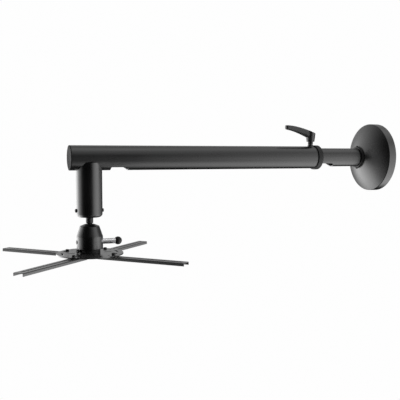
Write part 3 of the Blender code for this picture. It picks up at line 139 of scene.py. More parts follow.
# Clamp
CLAMP_AXIS = Vector((-0.214, 0.0, 0.0))
CLAMP_DRILL_RADIUS = 0.0045
CLAMP_DRILL_LOW_Z = 0.020
BOSS_OUTLINE = [(0.0043, 0.0286), (0.0090, 0.0286), (0.0086, 0.0297), (0.0078, 0.0308), (0.0076, 0.0318),
                (0.0076, 0.0326), (0.0062, 0.0355), (0.0043, 0.0355)]
INSERT_OUTLINE = [(0.0, 0.0279), (0.004, 0.0279), (0.004, 0.0358), (0.0064, 0.0358), (0.0068, 0.0362),
                  (0.0068, 0.0432), (0.0, 0.0432)]
TOOTH_LOW_Z = 0.0430
TOOTH_TOP_Z = 0.0537
TOOTH_RADIUS = 0.0075
TOOTH_CLEARANCE = 0.0004
TOOTH_ROOT_SHARE = 0.92
TEETH = 16
CORNERS_PER_TOOTH = 4
LEVER_STEPS = 72
LEVER_OUTLINE = [(0.0, 0.0427), (0.0103, 0.0427), (0.0108, 0.0432), (0.0132, 0.0637), (0.0132, 0.0727),
                 (0.0, 0.0727)]
LEVER_FOOT_Z = 0.0427
LEVER_TOP_Z = 0.0727
LEVER_TOP_RADIUS = 0.0132
LEVER_SLOPE = radians(18.5)
LEVER_SAW = (0.06, 0.06, 0.04)
LEVER_WEB_Z = (0.0540, 0.0570)
LEVER_DRILL_TOP_Z = 0.12
LEVER_EDGE = 0.0006
HANDLE_REACH = 0.0775
HANDLE_RISE = 0.0373
HANDLE_BELOW_TOP = 0.0015
HANDLE_ROOT_HEIGHT = 0.022
HANDLE_TIP_HEIGHT = 0.0112
HANDLE_ROOT_WIDTH = 0.021
HANDLE_TIP_WIDTH = 0.013
HANDLE_CORNER = 0.006944
HANDLE_STATIONS = 14
NOSE_LENGTH = 0.0055
NOSE_STATIONS = 5
NOSE_WIDTH_SHARE = 0.34
NOSE_HEIGHT_SHARE = 0.72
SPRING_Z = (0.0573, 0.0641)
SPRING_RADIUS = 0.0041
SPRING_WIRE = 0.0005
SPRING_WIRE_STEPS = 12
SPRING_TURNS = 4
SPRING_STEPS = 28
LEVER_SCREW_HEAD_Z = (0.0644, 0.0674)
LEVER_SCREW_END_Z = 0.0462
LEVER_SCREW = Screw(shank=0.0028, head=0.005, flats=0.004, depth=0.0018, rounding=0.0006)

# Drop tube and what it holds
DROP_AXIS = Vector((-0.8235, 0.0, 0.0))
DROP_RADIUS = 0.0312
DROP_BORE = 0.0282
DROP_LIP_Z = -0.0113
DROP_FOOT_Z = -0.142
DROP_FLOOR_Z = -0.138
DROP_ROUNDING = 0.009
SADDLE_RADIUS = 0.0301
STUD_HOLE = 0.0063
SIDE_SCREW_Z = -0.126
SIDE_SCREW_TIP = 0.0172
SIDE_SCREW_HEAD = (0.0315, 0.0347)
SIDE_SCREW = Screw(shank=0.003, head=0.0045, flats=0.004, depth=0.002, rounding=0.0021)
BALL_Z = -0.172839
BALL_RADIUS = 0.014
STUD_WAIST_RADIUS = 0.0062
# The stud above its ball, measured from the ball's centre
STUD_OUTLINE = [(0.0062, 0.015339), (0.0068, 0.015939), (0.0073, 0.015939), (0.0088, 0.017439),
                (0.0088, 0.030139), (0.0084, 0.030539), (0.006, 0.030539), (0.006, 0.066139),
                (0.005, 0.067139), (0.0, 0.067139)]

# Bell and lock
BELL_LOW, BELL_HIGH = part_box("bell_housing")
CAP_LOW, CAP_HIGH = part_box("bell_cap")
BELL_RADIUS = 0.0316
BELL_TOP_RADIUS = 0.0236
BELL_TOP = [(0.0218, 0.0), (0.0231, 0.0), (0.0236, -0.0006)]
BELL_CONE_HEIGHT = 0.0241
BELL_SHOULDER = 0.012
BELL_FOOT = [(0.0316, 0.001), (0.0313, 0.0003), (0.0306, 0.0), (0.022, 0.0)]
BELL_WEB = [(0.022, 0.0), (0.008, 0.0), (0.008, 0.0035), (0.0218, 0.0035)]
BELL_SIDE_HOLES_FROM = 0.0195
CAP_CAVITY = 0.0166
CAP_MOUTH_RADIUS = 0.0104
BELL_CAP_TOP = [(0.0104, 0.0), (0.0118, 0.0), (0.0124, -0.0001), (0.0231, -0.0045), (0.0234, -0.0048),
                (0.0234, -0.005), (0.0215, -0.005)]
BELL_CAP_FOOT = [(0.0215, 0.0)]
LOCK_LOW, LOCK_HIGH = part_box("lock_rod")
LOCK_Z = (LOCK_LOW.z + LOCK_HIGH.z) / 2.0
LOCK_OUTLINE = [(0.0, 0.019), (0.0016, 0.019), (0.0032, 0.0206), (0.0032, 0.0245), (0.0066, 0.0245),
                (0.0066, 0.0683), (0.0, 0.0683)]
LOCK_BORE = 0.0069
KNOB_CENTRE = 0.0694
KNOB_RADIUS = 0.0098
KNOB_FLOOR = 0.0686
RETAINER_TIP = 0.0190
RETAINER_HOLE_RADIUS = 0.0033
RETAINER_HEAD = (0.0317, 0.0329)
RETAINER = Screw(shank=0.003, head=0.0046, flats=0.0025, depth=0.0009, rounding=0.0007)

# Hub and its side screw
HUB_LOW, HUB_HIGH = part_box("hub_spigot")
HUB_BORE = 0.008
HUB_TOP = [(0.008, 0.0), (0.0217, 0.0)]
HUB_GROOVE = [(0.0217, 0.0046), (0.0186, 0.0036), (0.0186, -0.0036), (0.0217, -0.0046)]
HUB_BOSS = [(0.0217, 0.0099), (0.0244, 0.0099), (0.025, 0.0093), (0.025, 0.0), (0.008, 0.0)]
HUB_SIDE_RISE = 0.00495
HUB_SIDE_PLACE = DROP_AXIS + Vector((0.0, 0.0, HUB_LOW.z + HUB_SIDE_RISE))
HUB_SIDE_TURN = radians(192.0)
HUB_SIDE_HOLE_RADIUS = 0.0023
HUB_SIDE_HOLE = (0.0167, 0.028)
THUMB_OUTLINE = [(0.0, 0.017), (0.002, 0.017), (0.002, 0.0253), (0.003, 0.0253), (0.003, 0.0294),
                 (0.0, 0.0294)]
THUMB_HEAD = (0.0292, 0.0338)
THUMB_HEAD_RADIUS = 0.0048
THUMB_ROOT_SHARE = 0.95
THUMB_TEETH = 14
THUMB_SLOT_LENGTH = 0.012
THUMB_SLOT_WIDTH = 0.0009
THUMB_SLOT_DEPTH = 0.001
THUMB_SLOT_CORNER = 0.0001
THUMB_EDGE = 0.00015

# Spider
PLATE_LOW, PLATE_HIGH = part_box("spider_plate")
PLATE_RADIUS = 0.0804
PLATE_EDGE = 0.00045
PIVOT_RADIUS = 0.0665
ARC_SLOT_WIDTH = 0.005
ARC_SLOT_FROM = radians(15.0)
ARC_SLOT_TO = radians(33.0)
SPOKE_SLOT = (0.036, 0.053)
SCREW_HOLE = 0.0028
HUB_SCREW_HOLE = 0.0027
HUB_SCREW_PITCH = 0.0145
HUB_SCREW = Screw(shank=0.0024, head=0.0042, flats=0.0025, depth=0.0012, rounding=0.0011)
ARM_HEADINGS = {
    "back_right": radians(44.0),
    "back_left": radians(134.0),
    "front_left": radians(224.0),
    "front_right": radians(314.0),
}
ARM_START = 0.030
ARM_REACH = 0.2582
ARM_WIDTH = 0.0262
ARM_DEPTH = 0.0074
ARM_SHEET = 0.0018
ARM_BEND = 0.0022
ARM_SLOT_WIDTH = 0.0056
ARM_SLOT_END = 0.009
ARM_TOP_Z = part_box("arm_back_right")[1].z
ARM_SCREW_HEAD_HEIGHT = 0.0036
ARM_SCREW = Screw(shank=0.0025, head=0.0045, flats=0.003, depth=0.0018, rounding=0.0020)
NUT_FLATS = 0.008
NUT_FACE_RADIUS = 0.0040
NUT_CHAMFER = 0.0007
NUT_CHAMFER_HEIGHT = 0.00042
SPACER_RADIUS = 0.008
SPACER_EDGE = 0.00025

# Shares and strengths in the shared effects
PIT_SHARE = 0.35
DRIFT_SHARE = 0.8
GRAIN_SHARE = 0.2
EDGE_STRENGTH = 5.0
EDGE_BREAK = 240.0
EDGE_WIDTH = 0.0006
DUST_FALL = 3.0
DUST_SCALE = 70.0
DUST_ROUGHNESS = 0.8
DUST_COLOUR = (0.42, 0.41, 0.39)
LINE_SHARE = 0.4
BAND_SHARE = 0.6
BAND_SCALE = 0.13
MASK_RANGE = (0.3, 0.7)
RELIEF_DEPTH = 0.0001
# The mix node's colour sockets: first, second and result
MIX_SOCKETS = (6, 7, 2)

# Studio
CAMERA_PLACE = Vector((-1.139, -1.522, 0.0168))
CAMERA_HEADING = radians(68.45)
CAMERA_TILT = radians(4.377)
CAMERA_ROLL = radians(0.112)
CAMERA_LENS = 57.6
CAMERA_SENSOR = 36.0
FLOOR_Z = -0.62
FLOOR_SIZE = 60.0
FLOOR_ROUGHNESS = 0.9
PALE = (0.99, 0.99, 0.99, 1.0)
WHITE = (1.0, 1.0, 1.0, 1.0)
ROOM_GLOW = 0.02
# Each soft window: where it lies, where its light begins to fade in, and its glow
WINDOWS = (
    ((-0.735, 0.678, -0.20), 0.46, 3.0),
    ((-0.60, 0.67, -0.42), 0.79, 3.1),
    ((0.85, -0.31, -0.42), 0.55, 2.05),
    ((0.77, -0.64, 0.0), 0.75, 2.1),
    ((0.60, -0.22, -0.77), 0.75, 1.95),
    ((0.45, -0.35, 0.82), 0.65, 1.2),
    ((0.11, 0.63, 0.77), 0.20, 0.6),
)
BOX_PLACE = Vector((-0.6, -0.1, 2.2))
BOX_AIM = Vector((-0.5, 0.0, 0.0))
BOX_WIDTH = 1.6
BOX_HEIGHT = 1.0
BOX_GLOW = 0.5


def clear_selection():
    """Leave edit mode and deselect everything."""
    active = bpy.context.view_layer.objects.active
    if active and active.mode != "OBJECT":
        bpy.ops.object.mode_set(mode="OBJECT")
    bpy.ops.object.select_all(action="DESELECT")


def take_up(piece):
    """Make one piece the only selected and active one."""
    clear_selection()
    piece.select_set(True)
    bpy.context.view_layer.objects.active = piece


def name_piece(name):
    """Name the primitive that was just added."""
    piece = bpy.context.object
    piece.name = name
    piece.data.name = name
    return piece


def choose(piece, kind, test):
    """Go into edit mode with only the corners, edges or faces selected that pass a test."""
    take_up(piece)
    bpy.ops.object.mode_set(mode="EDIT")
    bpy.ops.mesh.select_mode(type=kind)
    bpy.ops.mesh.select_all(action="DESELECT")
    bpy.ops.object.mode_set(mode="OBJECT")
    mesh = piece.data
    groups = {"VERT": mesh.vertices, "EDGE": mesh.edges, "FACE": mesh.polygons}
    for item in groups[kind]:
        item.select = test(item)
    bpy.ops.object.mode_set(mode="EDIT")


def choose_all(piece, kind="VERT"):
    """Go into edit mode with everything selected."""
    choose(piece, kind, lambda item: True)
    bpy.ops.mesh.select_all(action="SELECT")


def face_outwards():
    """Turn all faces of the piece in edit mode outwards, and leave edit mode."""
    bpy.ops.mesh.select_all(action="SELECT")
    bpy.ops.mesh.normals_make_consistent(inside=False)
    bpy.ops.object.mode_set(mode="OBJECT")


def edge_ends(piece, edge):
    """The two end points of an edge."""
    corners = piece.data.vertices
    return corners[edge.vertices[0]].co, corners[edge.vertices[1]].co


def settle(piece):
    """Put a piece's place, turn and size into its mesh."""
    take_up(piece)
    bpy.ops.object.transform_apply(location=True, rotation=True, scale=True)
    return piece


def close_seams(piece):
    """Merge doubled corners and turn all faces outwards."""
    choose_all(piece)
    bpy.ops.mesh.remove_doubles(threshold=MERGE)
    face_outwards()
    return piece


def apply_modifier(piece, kind, **values):
    """Add a modifier, set it and apply it."""
    take_up(piece)
    modifier = piece.modifiers.new(kind.lower(), kind)
    for key, value in values.items():
        setattr(modifier, key, value)
    bpy.ops.object.modifier_apply(modifier=modifier.name)
    return piece


def draw_outline(name, points):
    """Draw a line through points, edge by edge, from a plane merged to one corner."""
    clear_selection()
    bpy.ops.mesh.primitive_plane_add(size=START_SIZE, location=ORIGIN)
    piece = name_piece(name)
    bpy.ops.object.mode_set(mode="EDIT")
    bpy.ops.mesh.select_mode(type="VERT")
    bpy.ops.mesh.select_all(action="SELECT")
    bpy.ops.mesh.merge(type="CENTER")
    at = Vector(points[0])
    bpy.ops.transform.translate(value=at)
    for point in points[1:]:
        step = Vector(point) - at
        bpy.ops.mesh.extrude_region_move(TRANSFORM_OT_translate={"value": step})
        at = Vector(point)
    return piece


def turn(name, outline, along="X", centre=ORIGIN, steps=TUBE_STEPS):
    """Turn an outline of (radius, distance) points, as on a lathe. A ring's outline is closed."""
    if min(radius for radius, distance in outline) > 0.0:
        outline = outline + outline[:1]
    if along == "X":
        points = [centre + Vector((distance, 0.0, radius)) for radius, distance in outline]
        axis = (1.0, 0.0, 0.0)
    else:
        points = [centre + Vector((radius, 0.0, distance)) for radius, distance in outline]
        axis = (0.0, 0.0, 1.0)
    piece = draw_outline(name, points)
    bpy.ops.mesh.select_all(action="SELECT")
    bpy.ops.mesh.remove_doubles(threshold=MERGE)
    bpy.ops.mesh.select_all(action="SELECT")
    bpy.ops.mesh.spin(steps=steps, angle=2.0 * pi, center=centre, axis=axis)
    return close_seams(piece)


def corner_arc(radius, start, end, centre, steps=6):
    """Points of a rounded corner, both ends included."""
    points = []
    for step in range(steps + 1):
        angle = start + (end - start) * step / steps
        points.append((centre[0] + radius * cos(angle), centre[1] + radius * sin(angle)))
    return points


def level_spot(radius, heading):
    """Point at a radius from the upright axis, along a level heading."""
    return Vector((radius * cos(heading), radius * sin(heading), 0.0))


def on_axis(axis, height):
    """Point at a height on an upright axis."""
    return axis + Vector((0.0, 0.0, height))


def copy_of(piece, name):
    """Copy a piece with its own mesh."""
    take_up(piece)
    bpy.ops.object.duplicate(linked=False)
    return name_piece(name)


def round_bar(radius, low, high, along="Z", centre=ORIGIN, steps=HOLE_STEPS):
    """A bar to drill with."""
    clear_selection()
    middle = (low + high) / 2.0
    shift = {"X": Vector((middle, 0.0, 0.0)), "Z": Vector((0.0, 0.0, middle))}[along]
    turn_to = {"X": (0.0, pi / 2.0, 0.0), "Z": (0.0, 0.0, 0.0)}[along]
    bpy.ops.mesh.primitive_cylinder_add(
        vertices=steps, radius=radius, depth=high - low, location=centre + shift, rotation=turn_to
    )
    return settle(name_piece("drill"))


def block(name, size):
    """A cube of one metre with its size set, to shape further."""
    clear_selection()
    bpy.ops.mesh.primitive_cube_add(size=1.0, location=ORIGIN)
    piece = name_piece(name)
    piece.scale = size
    return piece


def slot_bar(length, width, low, high, corner, centre=ORIGIN, heading=0.0):
    """A bar with round upright corners, to mill slots with."""
    bar = block("mill", (length, width, high - low))
    bar.location = (0.0, 0.0, (low + high) / 2.0)
    settle(bar)

    def upright(edge):
        first, second = edge_ends(bar, edge)
        return abs(first.x - second.x) < MERGE and abs(first.y - second.y) < MERGE

    choose(bar, "EDGE", upright)
    bpy.ops.mesh.bevel(offset=corner, segments=8, affect="EDGES", clamp_overlap=True)
    bpy.ops.mesh.select_all(action="SELECT")
    bpy.ops.mesh.remove_doubles(threshold=MERGE)
    bpy.ops.object.mode_set(mode="OBJECT")
    bar.matrix_world = Matrix.Translation(centre) @ Matrix.Rotation(heading, 4, "Z")
    return settle(bar)


def combine(piece, other, operation):
    """Cut, fuse or intersect a piece with another body, and throw that body away."""
    apply_modifier(piece, "BOOLEAN", operation=operation, solver="EXACT", object=other)
    bpy.data.objects.remove(other)
    return piece


def cut_away(piece, *tools):
    """Take the tools' volume out of a piece."""
    for tool in tools:
        combine(piece, tool, "DIFFERENCE")
    return piece


def soften(piece, width, segments=2):
    """Round the sharp edges a little, as paint and tumbling do."""
    return apply_modifier(
        piece, "BEVEL", width=width, segments=segments, limit_method="ANGLE",
        angle_limit=SOFT_ANGLE, use_clamp_overlap=True, miter_outer="MITER_ARC",
    )


def hand_over(piece, body, finish, slot, *stands_for):
    """Give a finished piece its smooth shading, finish and body, and hide the solids it stands for; the slot
    is not used.
    """
    take_up(piece)
    bpy.ops.object.shade_smooth_by_angle(angle=SMOOTH_ANGLE)
    apply_modifier(piece, "WEIGHTED_NORMAL", mode="FACE_AREA", weight=50, keep_sharp=True)
    piece.data.materials.clear()
    piece.data.materials.append(finish)
    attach(piece, body)
    if stands_for:
        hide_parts(*stands_for)
    return piece


def group_with(name, inputs, outputs):
    """Start a shader node group with number sockets and return its tree and two end nodes."""
    group = bpy.data.node_groups.new(name, "ShaderNodeTree")
    for label, value in inputs.items():
        kind = "NodeSocketVector" if isinstance(value, tuple) else "NodeSocketFloat"
        group.interface.new_socket(name=label, in_out="INPUT", socket_type=kind).default_value = value
    for label in outputs:
        group.interface.new_socket(name=label, in_out="OUTPUT", socket_type="NodeSocketFloat")
    return group, group.nodes.new("NodeGroupInput"), group.nodes.new("NodeGroupOutput")


def fed(tree, node, inputs):
    """Feed a node's inputs with plain values or other nodes' outputs."""
    for label, value in inputs.items():
        if isinstance(value, bpy.types.NodeSocket):
            tree.links.new(value, node.inputs[label])
        else:
            node.inputs[label].default_value = value
    return node


def node_with(tree, kind, inputs, **settings):
    """Add a node, set its options and feed its inputs."""
    node = tree.nodes.new(kind)
    for key, value in settings.items():
        setattr(node, key, value)
    return fed(tree, node, inputs)


def maths(tree, operation, first, second):
    """The result of a math node on two sockets or numbers."""
    return node_with(tree, "ShaderNodeMath", {0: first, 1: second}, operation=operation).outputs[0]


def plus_share(tree, base, extra, share):
    """A value with a share of another added."""
    return maths(tree, "ADD", base, maths(tree, "MULTIPLY", extra, share))


def vector_maths(tree, operation, first, second):
    """A vector math node fed by two sockets."""
    return node_with(tree, "ShaderNodeVectorMath", {0: first, 1: second}, operation=operation)


def object_place(tree):
    """The place on the piece, in its own coordinates."""
    return tree.nodes.new("ShaderNodeTexCoord").outputs["Object"]


def noise(tree, vector, scale, detail):
    """Noise on given coordinates."""
    inputs = {"Vector": vector, "Scale": scale, "Detail": detail}
    return node_with(tree, "ShaderNodeTexNoise", inputs).outputs["Fac"]


def skin_group():
    """Fine orange-peel height with a slow drift of tone under it."""
    group, start, end = group_with("fine_skin", {"Grain": 900.0, "Drift": 14.0}, ("Height", "Tone"))
    place = object_place(group)
    grain = start.outputs["Grain"]
    fine = noise(group, place, grain, detail=3.0)
    slow = noise(group, place, start.outputs["Drift"], detail=2.0)
    pits = node_with(group, "ShaderNodeTexVoronoi", {"Vector": place, "Scale": grain})
    height = plus_share(group, fine, pits.outputs["Distance"], PIT_SHARE)
    tone = plus_share(group, maths(group, "MULTIPLY", slow, DRIFT_SHARE), fine, GRAIN_SHARE)
    fed(group, end, {"Height": height, "Tone": tone})
    return group


def edge_group():
    """Mask of the narrow strips along edges, broken up by noise."""
    group, start, end = group_with("worn_edges", {"Width": 0.0006, "Break": 260.0, "Amount": 0.5}, ("Mask",))
    rounded = node_with(group, "ShaderNodeBevel", {"Radius": start.outputs["Width"]}, samples=4)
    flat = group.nodes.new("ShaderNodeNewGeometry")
    likeness = vector_maths(group, "DOT_PRODUCT", rounded.outputs["Normal"], flat.outputs["Normal"])
    away = maths(group, "SUBTRACT", 1.0, likeness.outputs["Value"])
    broken = noise(group, object_place(group), start.outputs["Break"], detail=3.0)
    mask = maths(group, "MULTIPLY", maths(group, "MULTIPLY", away, EDGE_STRENGTH), broken)
    amount = maths(group, "MULTIPLY", mask, start.outputs["Amount"])
    fed(group, end, {"Mask": maths(group, "MINIMUM", amount, 1.0)})
    return group


def dust_group():
    """Mask of thin dust on faces that look up."""
    group, start, end = group_with("settled_dust", {"Scale": 60.0, "Amount": 0.05}, ("Mask",))
    face = group.nodes.new("ShaderNodeNewGeometry")
    parts = node_with(group, "ShaderNodeSeparateXYZ", {0: face.outputs["Normal"]})
    upward = maths(group, "POWER", maths(group, "MAXIMUM", parts.outputs["Z"], 0.0), DUST_FALL)
    patchy = noise(group, object_place(group), start.outputs["Scale"], detail=5.0)
    mask = maths(group, "MULTIPLY", maths(group, "MULTIPLY", upward, patchy), start.outputs["Amount"])
    fed(group, end, {"Mask": mask})
    return group


def marks_group():
    """Fine parallel marks from turning, drawing or brushing."""
    group, start, end = group_with("drawn_marks", {"Stretch": (900.0, 20.0, 20.0)}, ("Height", "Tone"))
    stretched = vector_maths(group, "MULTIPLY", object_place(group), start.outputs["Stretch"])
    lines = noise(group, stretched.outputs["Vector"], 1.0, detail=4.0)
    wide = noise(group, stretched.outputs["Vector"], BAND_SCALE, detail=2.0)
    tone = plus_share(group, maths(group, "MULTIPLY", lines, LINE_SHARE), wide, BAND_SHARE)
    fed(group, end, {"Height": lines, "Tone": tone})
    return group


SKIN = skin_group()
EDGES = edge_group()
DUST = dust_group()
MARKS = marks_group()


def placed_group(tree, group, **values):
    """Put a shared group in a material with its own values."""
    return node_with(tree, "ShaderNodeGroup", values, node_tree=group)


def colour_mix(tree, amount, first, second):
    """Mix two colours by a mask. Each is a socket or a plain colour."""
    first, second = ((*side, 1.0) if isinstance(side, tuple) else side for side in (first, second))
    at_first, at_second, at_result = MIX_SOCKETS
    inputs = {"Factor": amount, at_first: first, at_second: second}
    return node_with(tree, "ShaderNodeMix", inputs, data_type="RGBA").outputs[at_result]


def spread(tree, mask, low, high):
    """Map a mask around its middle to a range of values."""
    start, end = MASK_RANGE
    inputs = {"Value": mask, "From Min": start, "From Max": end, "To Min": low, "To Max": high}
    return node_with(tree, "ShaderNodeMapRange", inputs).outputs[0]


def finish_from(name, dark, light, rough, edge, wear, dust, bump, grain=None, drift=None, stretch=None,
                metallic=0.0, edge_width=EDGE_WIDTH, specular=0.5):
    """Build a finish: tone between two colours, worn edges, dust, rough variation and fine relief."""
    finish = bpy.data.materials.new(name)
    finish.use_nodes = True
    finish.diffuse_color = (*light, 1.0)
    tree = finish.node_tree
    if stretch is None:
        skin = placed_group(tree, SKIN, Grain=grain, Drift=drift)
    else:
        skin = placed_group(tree, MARKS, Stretch=stretch)
    tone = skin.outputs["Tone"]
    worn = placed_group(tree, EDGES, Width=edge_width, Break=EDGE_BREAK, Amount=wear).outputs["Mask"]
    dusty = placed_group(tree, DUST, Scale=DUST_SCALE, Amount=dust).outputs["Mask"]
    base = colour_mix(tree, spread(tree, tone, 0.0, 1.0), dark, light)
    base = colour_mix(tree, dusty, colour_mix(tree, worn, base, edge), DUST_COLOUR)
    roughness = plus_share(tree, spread(tree, tone, *rough), dusty, DUST_ROUGHNESS)
    relief = {"Strength": bump, "Distance": RELIEF_DEPTH, "Height": skin.outputs["Height"]}
    normal = node_with(tree, "ShaderNodeBump", relief).outputs["Normal"]
    inputs = {"Base Color": base, "Metallic": metallic, "Roughness": roughness,
              "Specular IOR Level": specular, "Normal": normal}
    fed(tree, tree.nodes["Principled BSDF"], inputs)
    return finish


# Satin black powder paint on the tubes, cover and bell
PAINT = finish_from("black_paint", dark=(0.0012, 0.0012, 0.0013), light=(0.0032, 0.0032, 0.0034),
                    rough=(0.24, 0.31), edge=(0.04, 0.04, 0.042), wear=0.35, dust=0.015, bump=0.22,
                    grain=1100.0, drift=11.0)
# Thinner semi-gloss black on the punched plate
SHEET = finish_from("sheet_paint", dark=(0.014, 0.014, 0.0145), light=(0.020, 0.020, 0.0205),
                    rough=(0.13, 0.19), edge=(0.09, 0.09, 0.092), wear=0.45, dust=0.03, bump=0.05,
                    grain=1400.0, drift=16.0)
# The same paint on the arms, less glossy than on the plate
ARM_PAINT = finish_from("arm_paint", dark=(0.014, 0.014, 0.0145), light=(0.021, 0.021, 0.0215),
                        rough=(0.20, 0.27), edge=(0.10, 0.10, 0.102), wear=0.45, dust=0.03, bump=0.05,
                        grain=1400.0, drift=16.0, specular=0.9)
# Black nylon with a fine spark-eroded mould surface
PLASTIC = finish_from("black_plastic", dark=(0.009, 0.009, 0.0095), light=(0.014, 0.014, 0.0145),
                      rough=(0.38, 0.50), edge=(0.030, 0.030, 0.031), wear=0.25, dust=0.04, bump=0.40,
                      grain=2100.0, drift=20.0)
# Matt black plastic of the mouth collar and the knob
MATT_PLASTIC = finish_from("matt_plastic", dark=(0.005, 0.005, 0.0053), light=(0.009, 0.009, 0.0093),
                           rough=(0.42, 0.54), edge=(0.030, 0.030, 0.031), wear=0.25, dust=0.03,
                           bump=0.35, grain=2100.0, drift=20.0, specular=0.2)
# Matt dark grey plastic of the end cap
CAP_PLASTIC = finish_from("grey_plastic", dark=(0.007, 0.007, 0.0072), light=(0.010, 0.010, 0.0103),
                          rough=(0.70, 0.80), edge=(0.04, 0.04, 0.041), wear=0.25, dust=0.02, bump=0.45,
                          grain=1900.0, drift=24.0, specular=0.07)
# Natural nylon, a little waxy
NYLON = finish_from("nylon", dark=(0.50, 0.49, 0.44), light=(0.60, 0.59, 0.54), rough=(0.38, 0.52),
                    edge=(0.70, 0.69, 0.64), wear=0.2, dust=0.02, bump=0.25, grain=800.0, drift=40.0)
# Bright plated steel with faint turning marks round the rod
BRIGHT = finish_from("bright_steel", dark=(0.50, 0.50, 0.51), light=(0.66, 0.66, 0.67),
                     rough=(0.22, 0.29), edge=(0.80, 0.80, 0.81), wear=0.3, dust=0.02, bump=0.03,
                     stretch=(2600.0, 30.0, 30.0), metallic=1.0)
# Zinc-plated screws and nuts, slightly cloudy
ZINC = finish_from("zinc_steel", dark=(0.34, 0.35, 0.36), light=(0.50, 0.51, 0.53), rough=(0.26, 0.42),
                   edge=(0.66, 0.67, 0.68), wear=0.4, dust=0.02, bump=0.15, grain=1500.0, drift=260.0,
                   metallic=1.0)
# Blackened steel screws, with rubbed edges
BLACK_STEEL = finish_from("black_steel", dark=(0.003, 0.003, 0.0032), light=(0.008, 0.008, 0.0083),
                          rough=(0.42, 0.55), edge=(0.10, 0.10, 0.104), wear=0.4, dust=0.02, bump=0.15,
                          grain=1800.0, drift=200.0, edge_width=0.0003, specular=0.3)
# Dull black of the hub, its side screw and the cover's ring
DULL_BLACK = finish_from("dull_black", dark=(0.003, 0.003, 0.0032), light=(0.006, 0.006, 0.0062),
                         rough=(0.50, 0.60), edge=(0.04, 0.04, 0.042), wear=0.3, dust=0.01, bump=0.2,
                         grain=1500.0, drift=60.0, specular=0.25)
# Plain brass of the clamp's pad
BRASS = finish_from("brass", dark=(0.50, 0.36, 0.13), light=(0.64, 0.48, 0.20), rough=(0.30, 0.44),
                    edge=(0.75, 0.60, 0.30), wear=0.4, dust=0.0, bump=0.2, grain=900.0, drift=120.0,
                    metallic=1.0)
# Turned aluminium of the plug
ALUMINIUM = finish_from("aluminium", dark=(0.48, 0.49, 0.50), light=(0.62, 0.63, 0.64),
                        rough=(0.26, 0.40), edge=(0.75, 0.76, 0.77), wear=0.3, dust=0.0, bump=0.25,
                        stretch=(30.0, 30.0, 2400.0), metallic=1.0)


def port_tool(port, radius, corner=PORT_CORNER):
    """Milling bar for a tube's cable port, below the tube."""
    start, end, width = port
    centre = Vector(((start + end) / 2.0, 0.0, 0.0))
    return slot_bar(end - start, width, PORT_LOW * radius, PORT_HIGH * radius, corner, centre)


def pipe(name, bore, radius, start, end):
    """A plain tube along the arm."""
    return turn(name, [(bore, start), (radius, start), (radius, end), (bore, end)])


def make_wall_plate():
    """Disc on the wall with four screw holes, and the weld that holds the tube."""
    disc = turn("wall_disc", [(0.0, PLATE_DISC_FRONT), (PLATE_DISC_RADIUS, PLATE_DISC_FRONT),
                              (PLATE_DISC_RADIUS, 0.0), (0.0, 0.0)], steps=COVER_STEPS)
    for across in (-WALL_HOLE_OFFSET, WALL_HOLE_OFFSET):
        for level in (-WALL_HOLE_OFFSET, WALL_HOLE_OFFSET):
            spot = Vector((0.0, across, level))
            cut_away(disc, round_bar(WALL_HOLE_RADIUS, PLATE_DISC_FRONT - PAST, PAST, "X", spot))
    hand_over(soften(disc, DISC_EDGE), "wall_bracket", PAINT, "black_paint", "wall_plate")
    bead = turn("root_weld", WELD_OUTLINE, steps=WELD_STEPS)

    def ripple(corner):
        place = int(round(atan2(corner.co.z, corner.co.y) / (2.0 * pi / WELD_STEPS)))
        return hypot(corner.co.y, corner.co.z) > WELD_RIPPLE_FROM and place % WELD_RIPPLE_EVERY == 0

    choose(bead, "VERT", ripple)
    bpy.ops.transform.resize(value=(1.0, WELD_RIPPLE, WELD_RIPPLE), center_override=ORIGIN)
    bpy.ops.object.mode_set(mode="OBJECT")
    hand_over(bead, "wall_bracket", PAINT, "black_paint")


def make_inner_tube():
    """Inner tube with its cable port and the nylon ring on its tail."""
    tube = pipe("inner_pipe", INNER_BORE, INNER_RADIUS, INNER_TAIL_X, INNER_ROOT_X)
    cut_away(tube, port_tool(INNER_PORT, INNER_RADIUS))
    hand_over(soften(tube, TUBE_EDGE), "wall_bracket", PAINT, "black_paint", "inner_tube")
    ring = turn("tail_ring", SLIDE_RING)
    hand_over(soften(ring, DISC_EDGE), "wall_bracket", NYLON, "nylon", "slide_ring")


def arched(start, end, bulge, steps=14):
    """Points between two ends on a shallow arch, the ends left out."""
    start = Vector(start)
    chord = Vector(end) - start
    out = Vector((-chord.y, chord.x)).normalized()
    shares = [step / steps for step in range(1, steps)]
    return [tuple(start + chord * share + out * 4.0 * bulge * share * (1.0 - share)) for share in shares]


def cover_corner(rounding, start, end, steps):
    """The cover's round edge, as (radius, x) points."""
    arc = corner_arc(rounding, start, end, (COVER_RADIUS - COVER_ROUNDING, COVER_RIM_X), steps)
    return [(radius, 2.0 * COVER_RIM_X - x) for radius, x in arc]


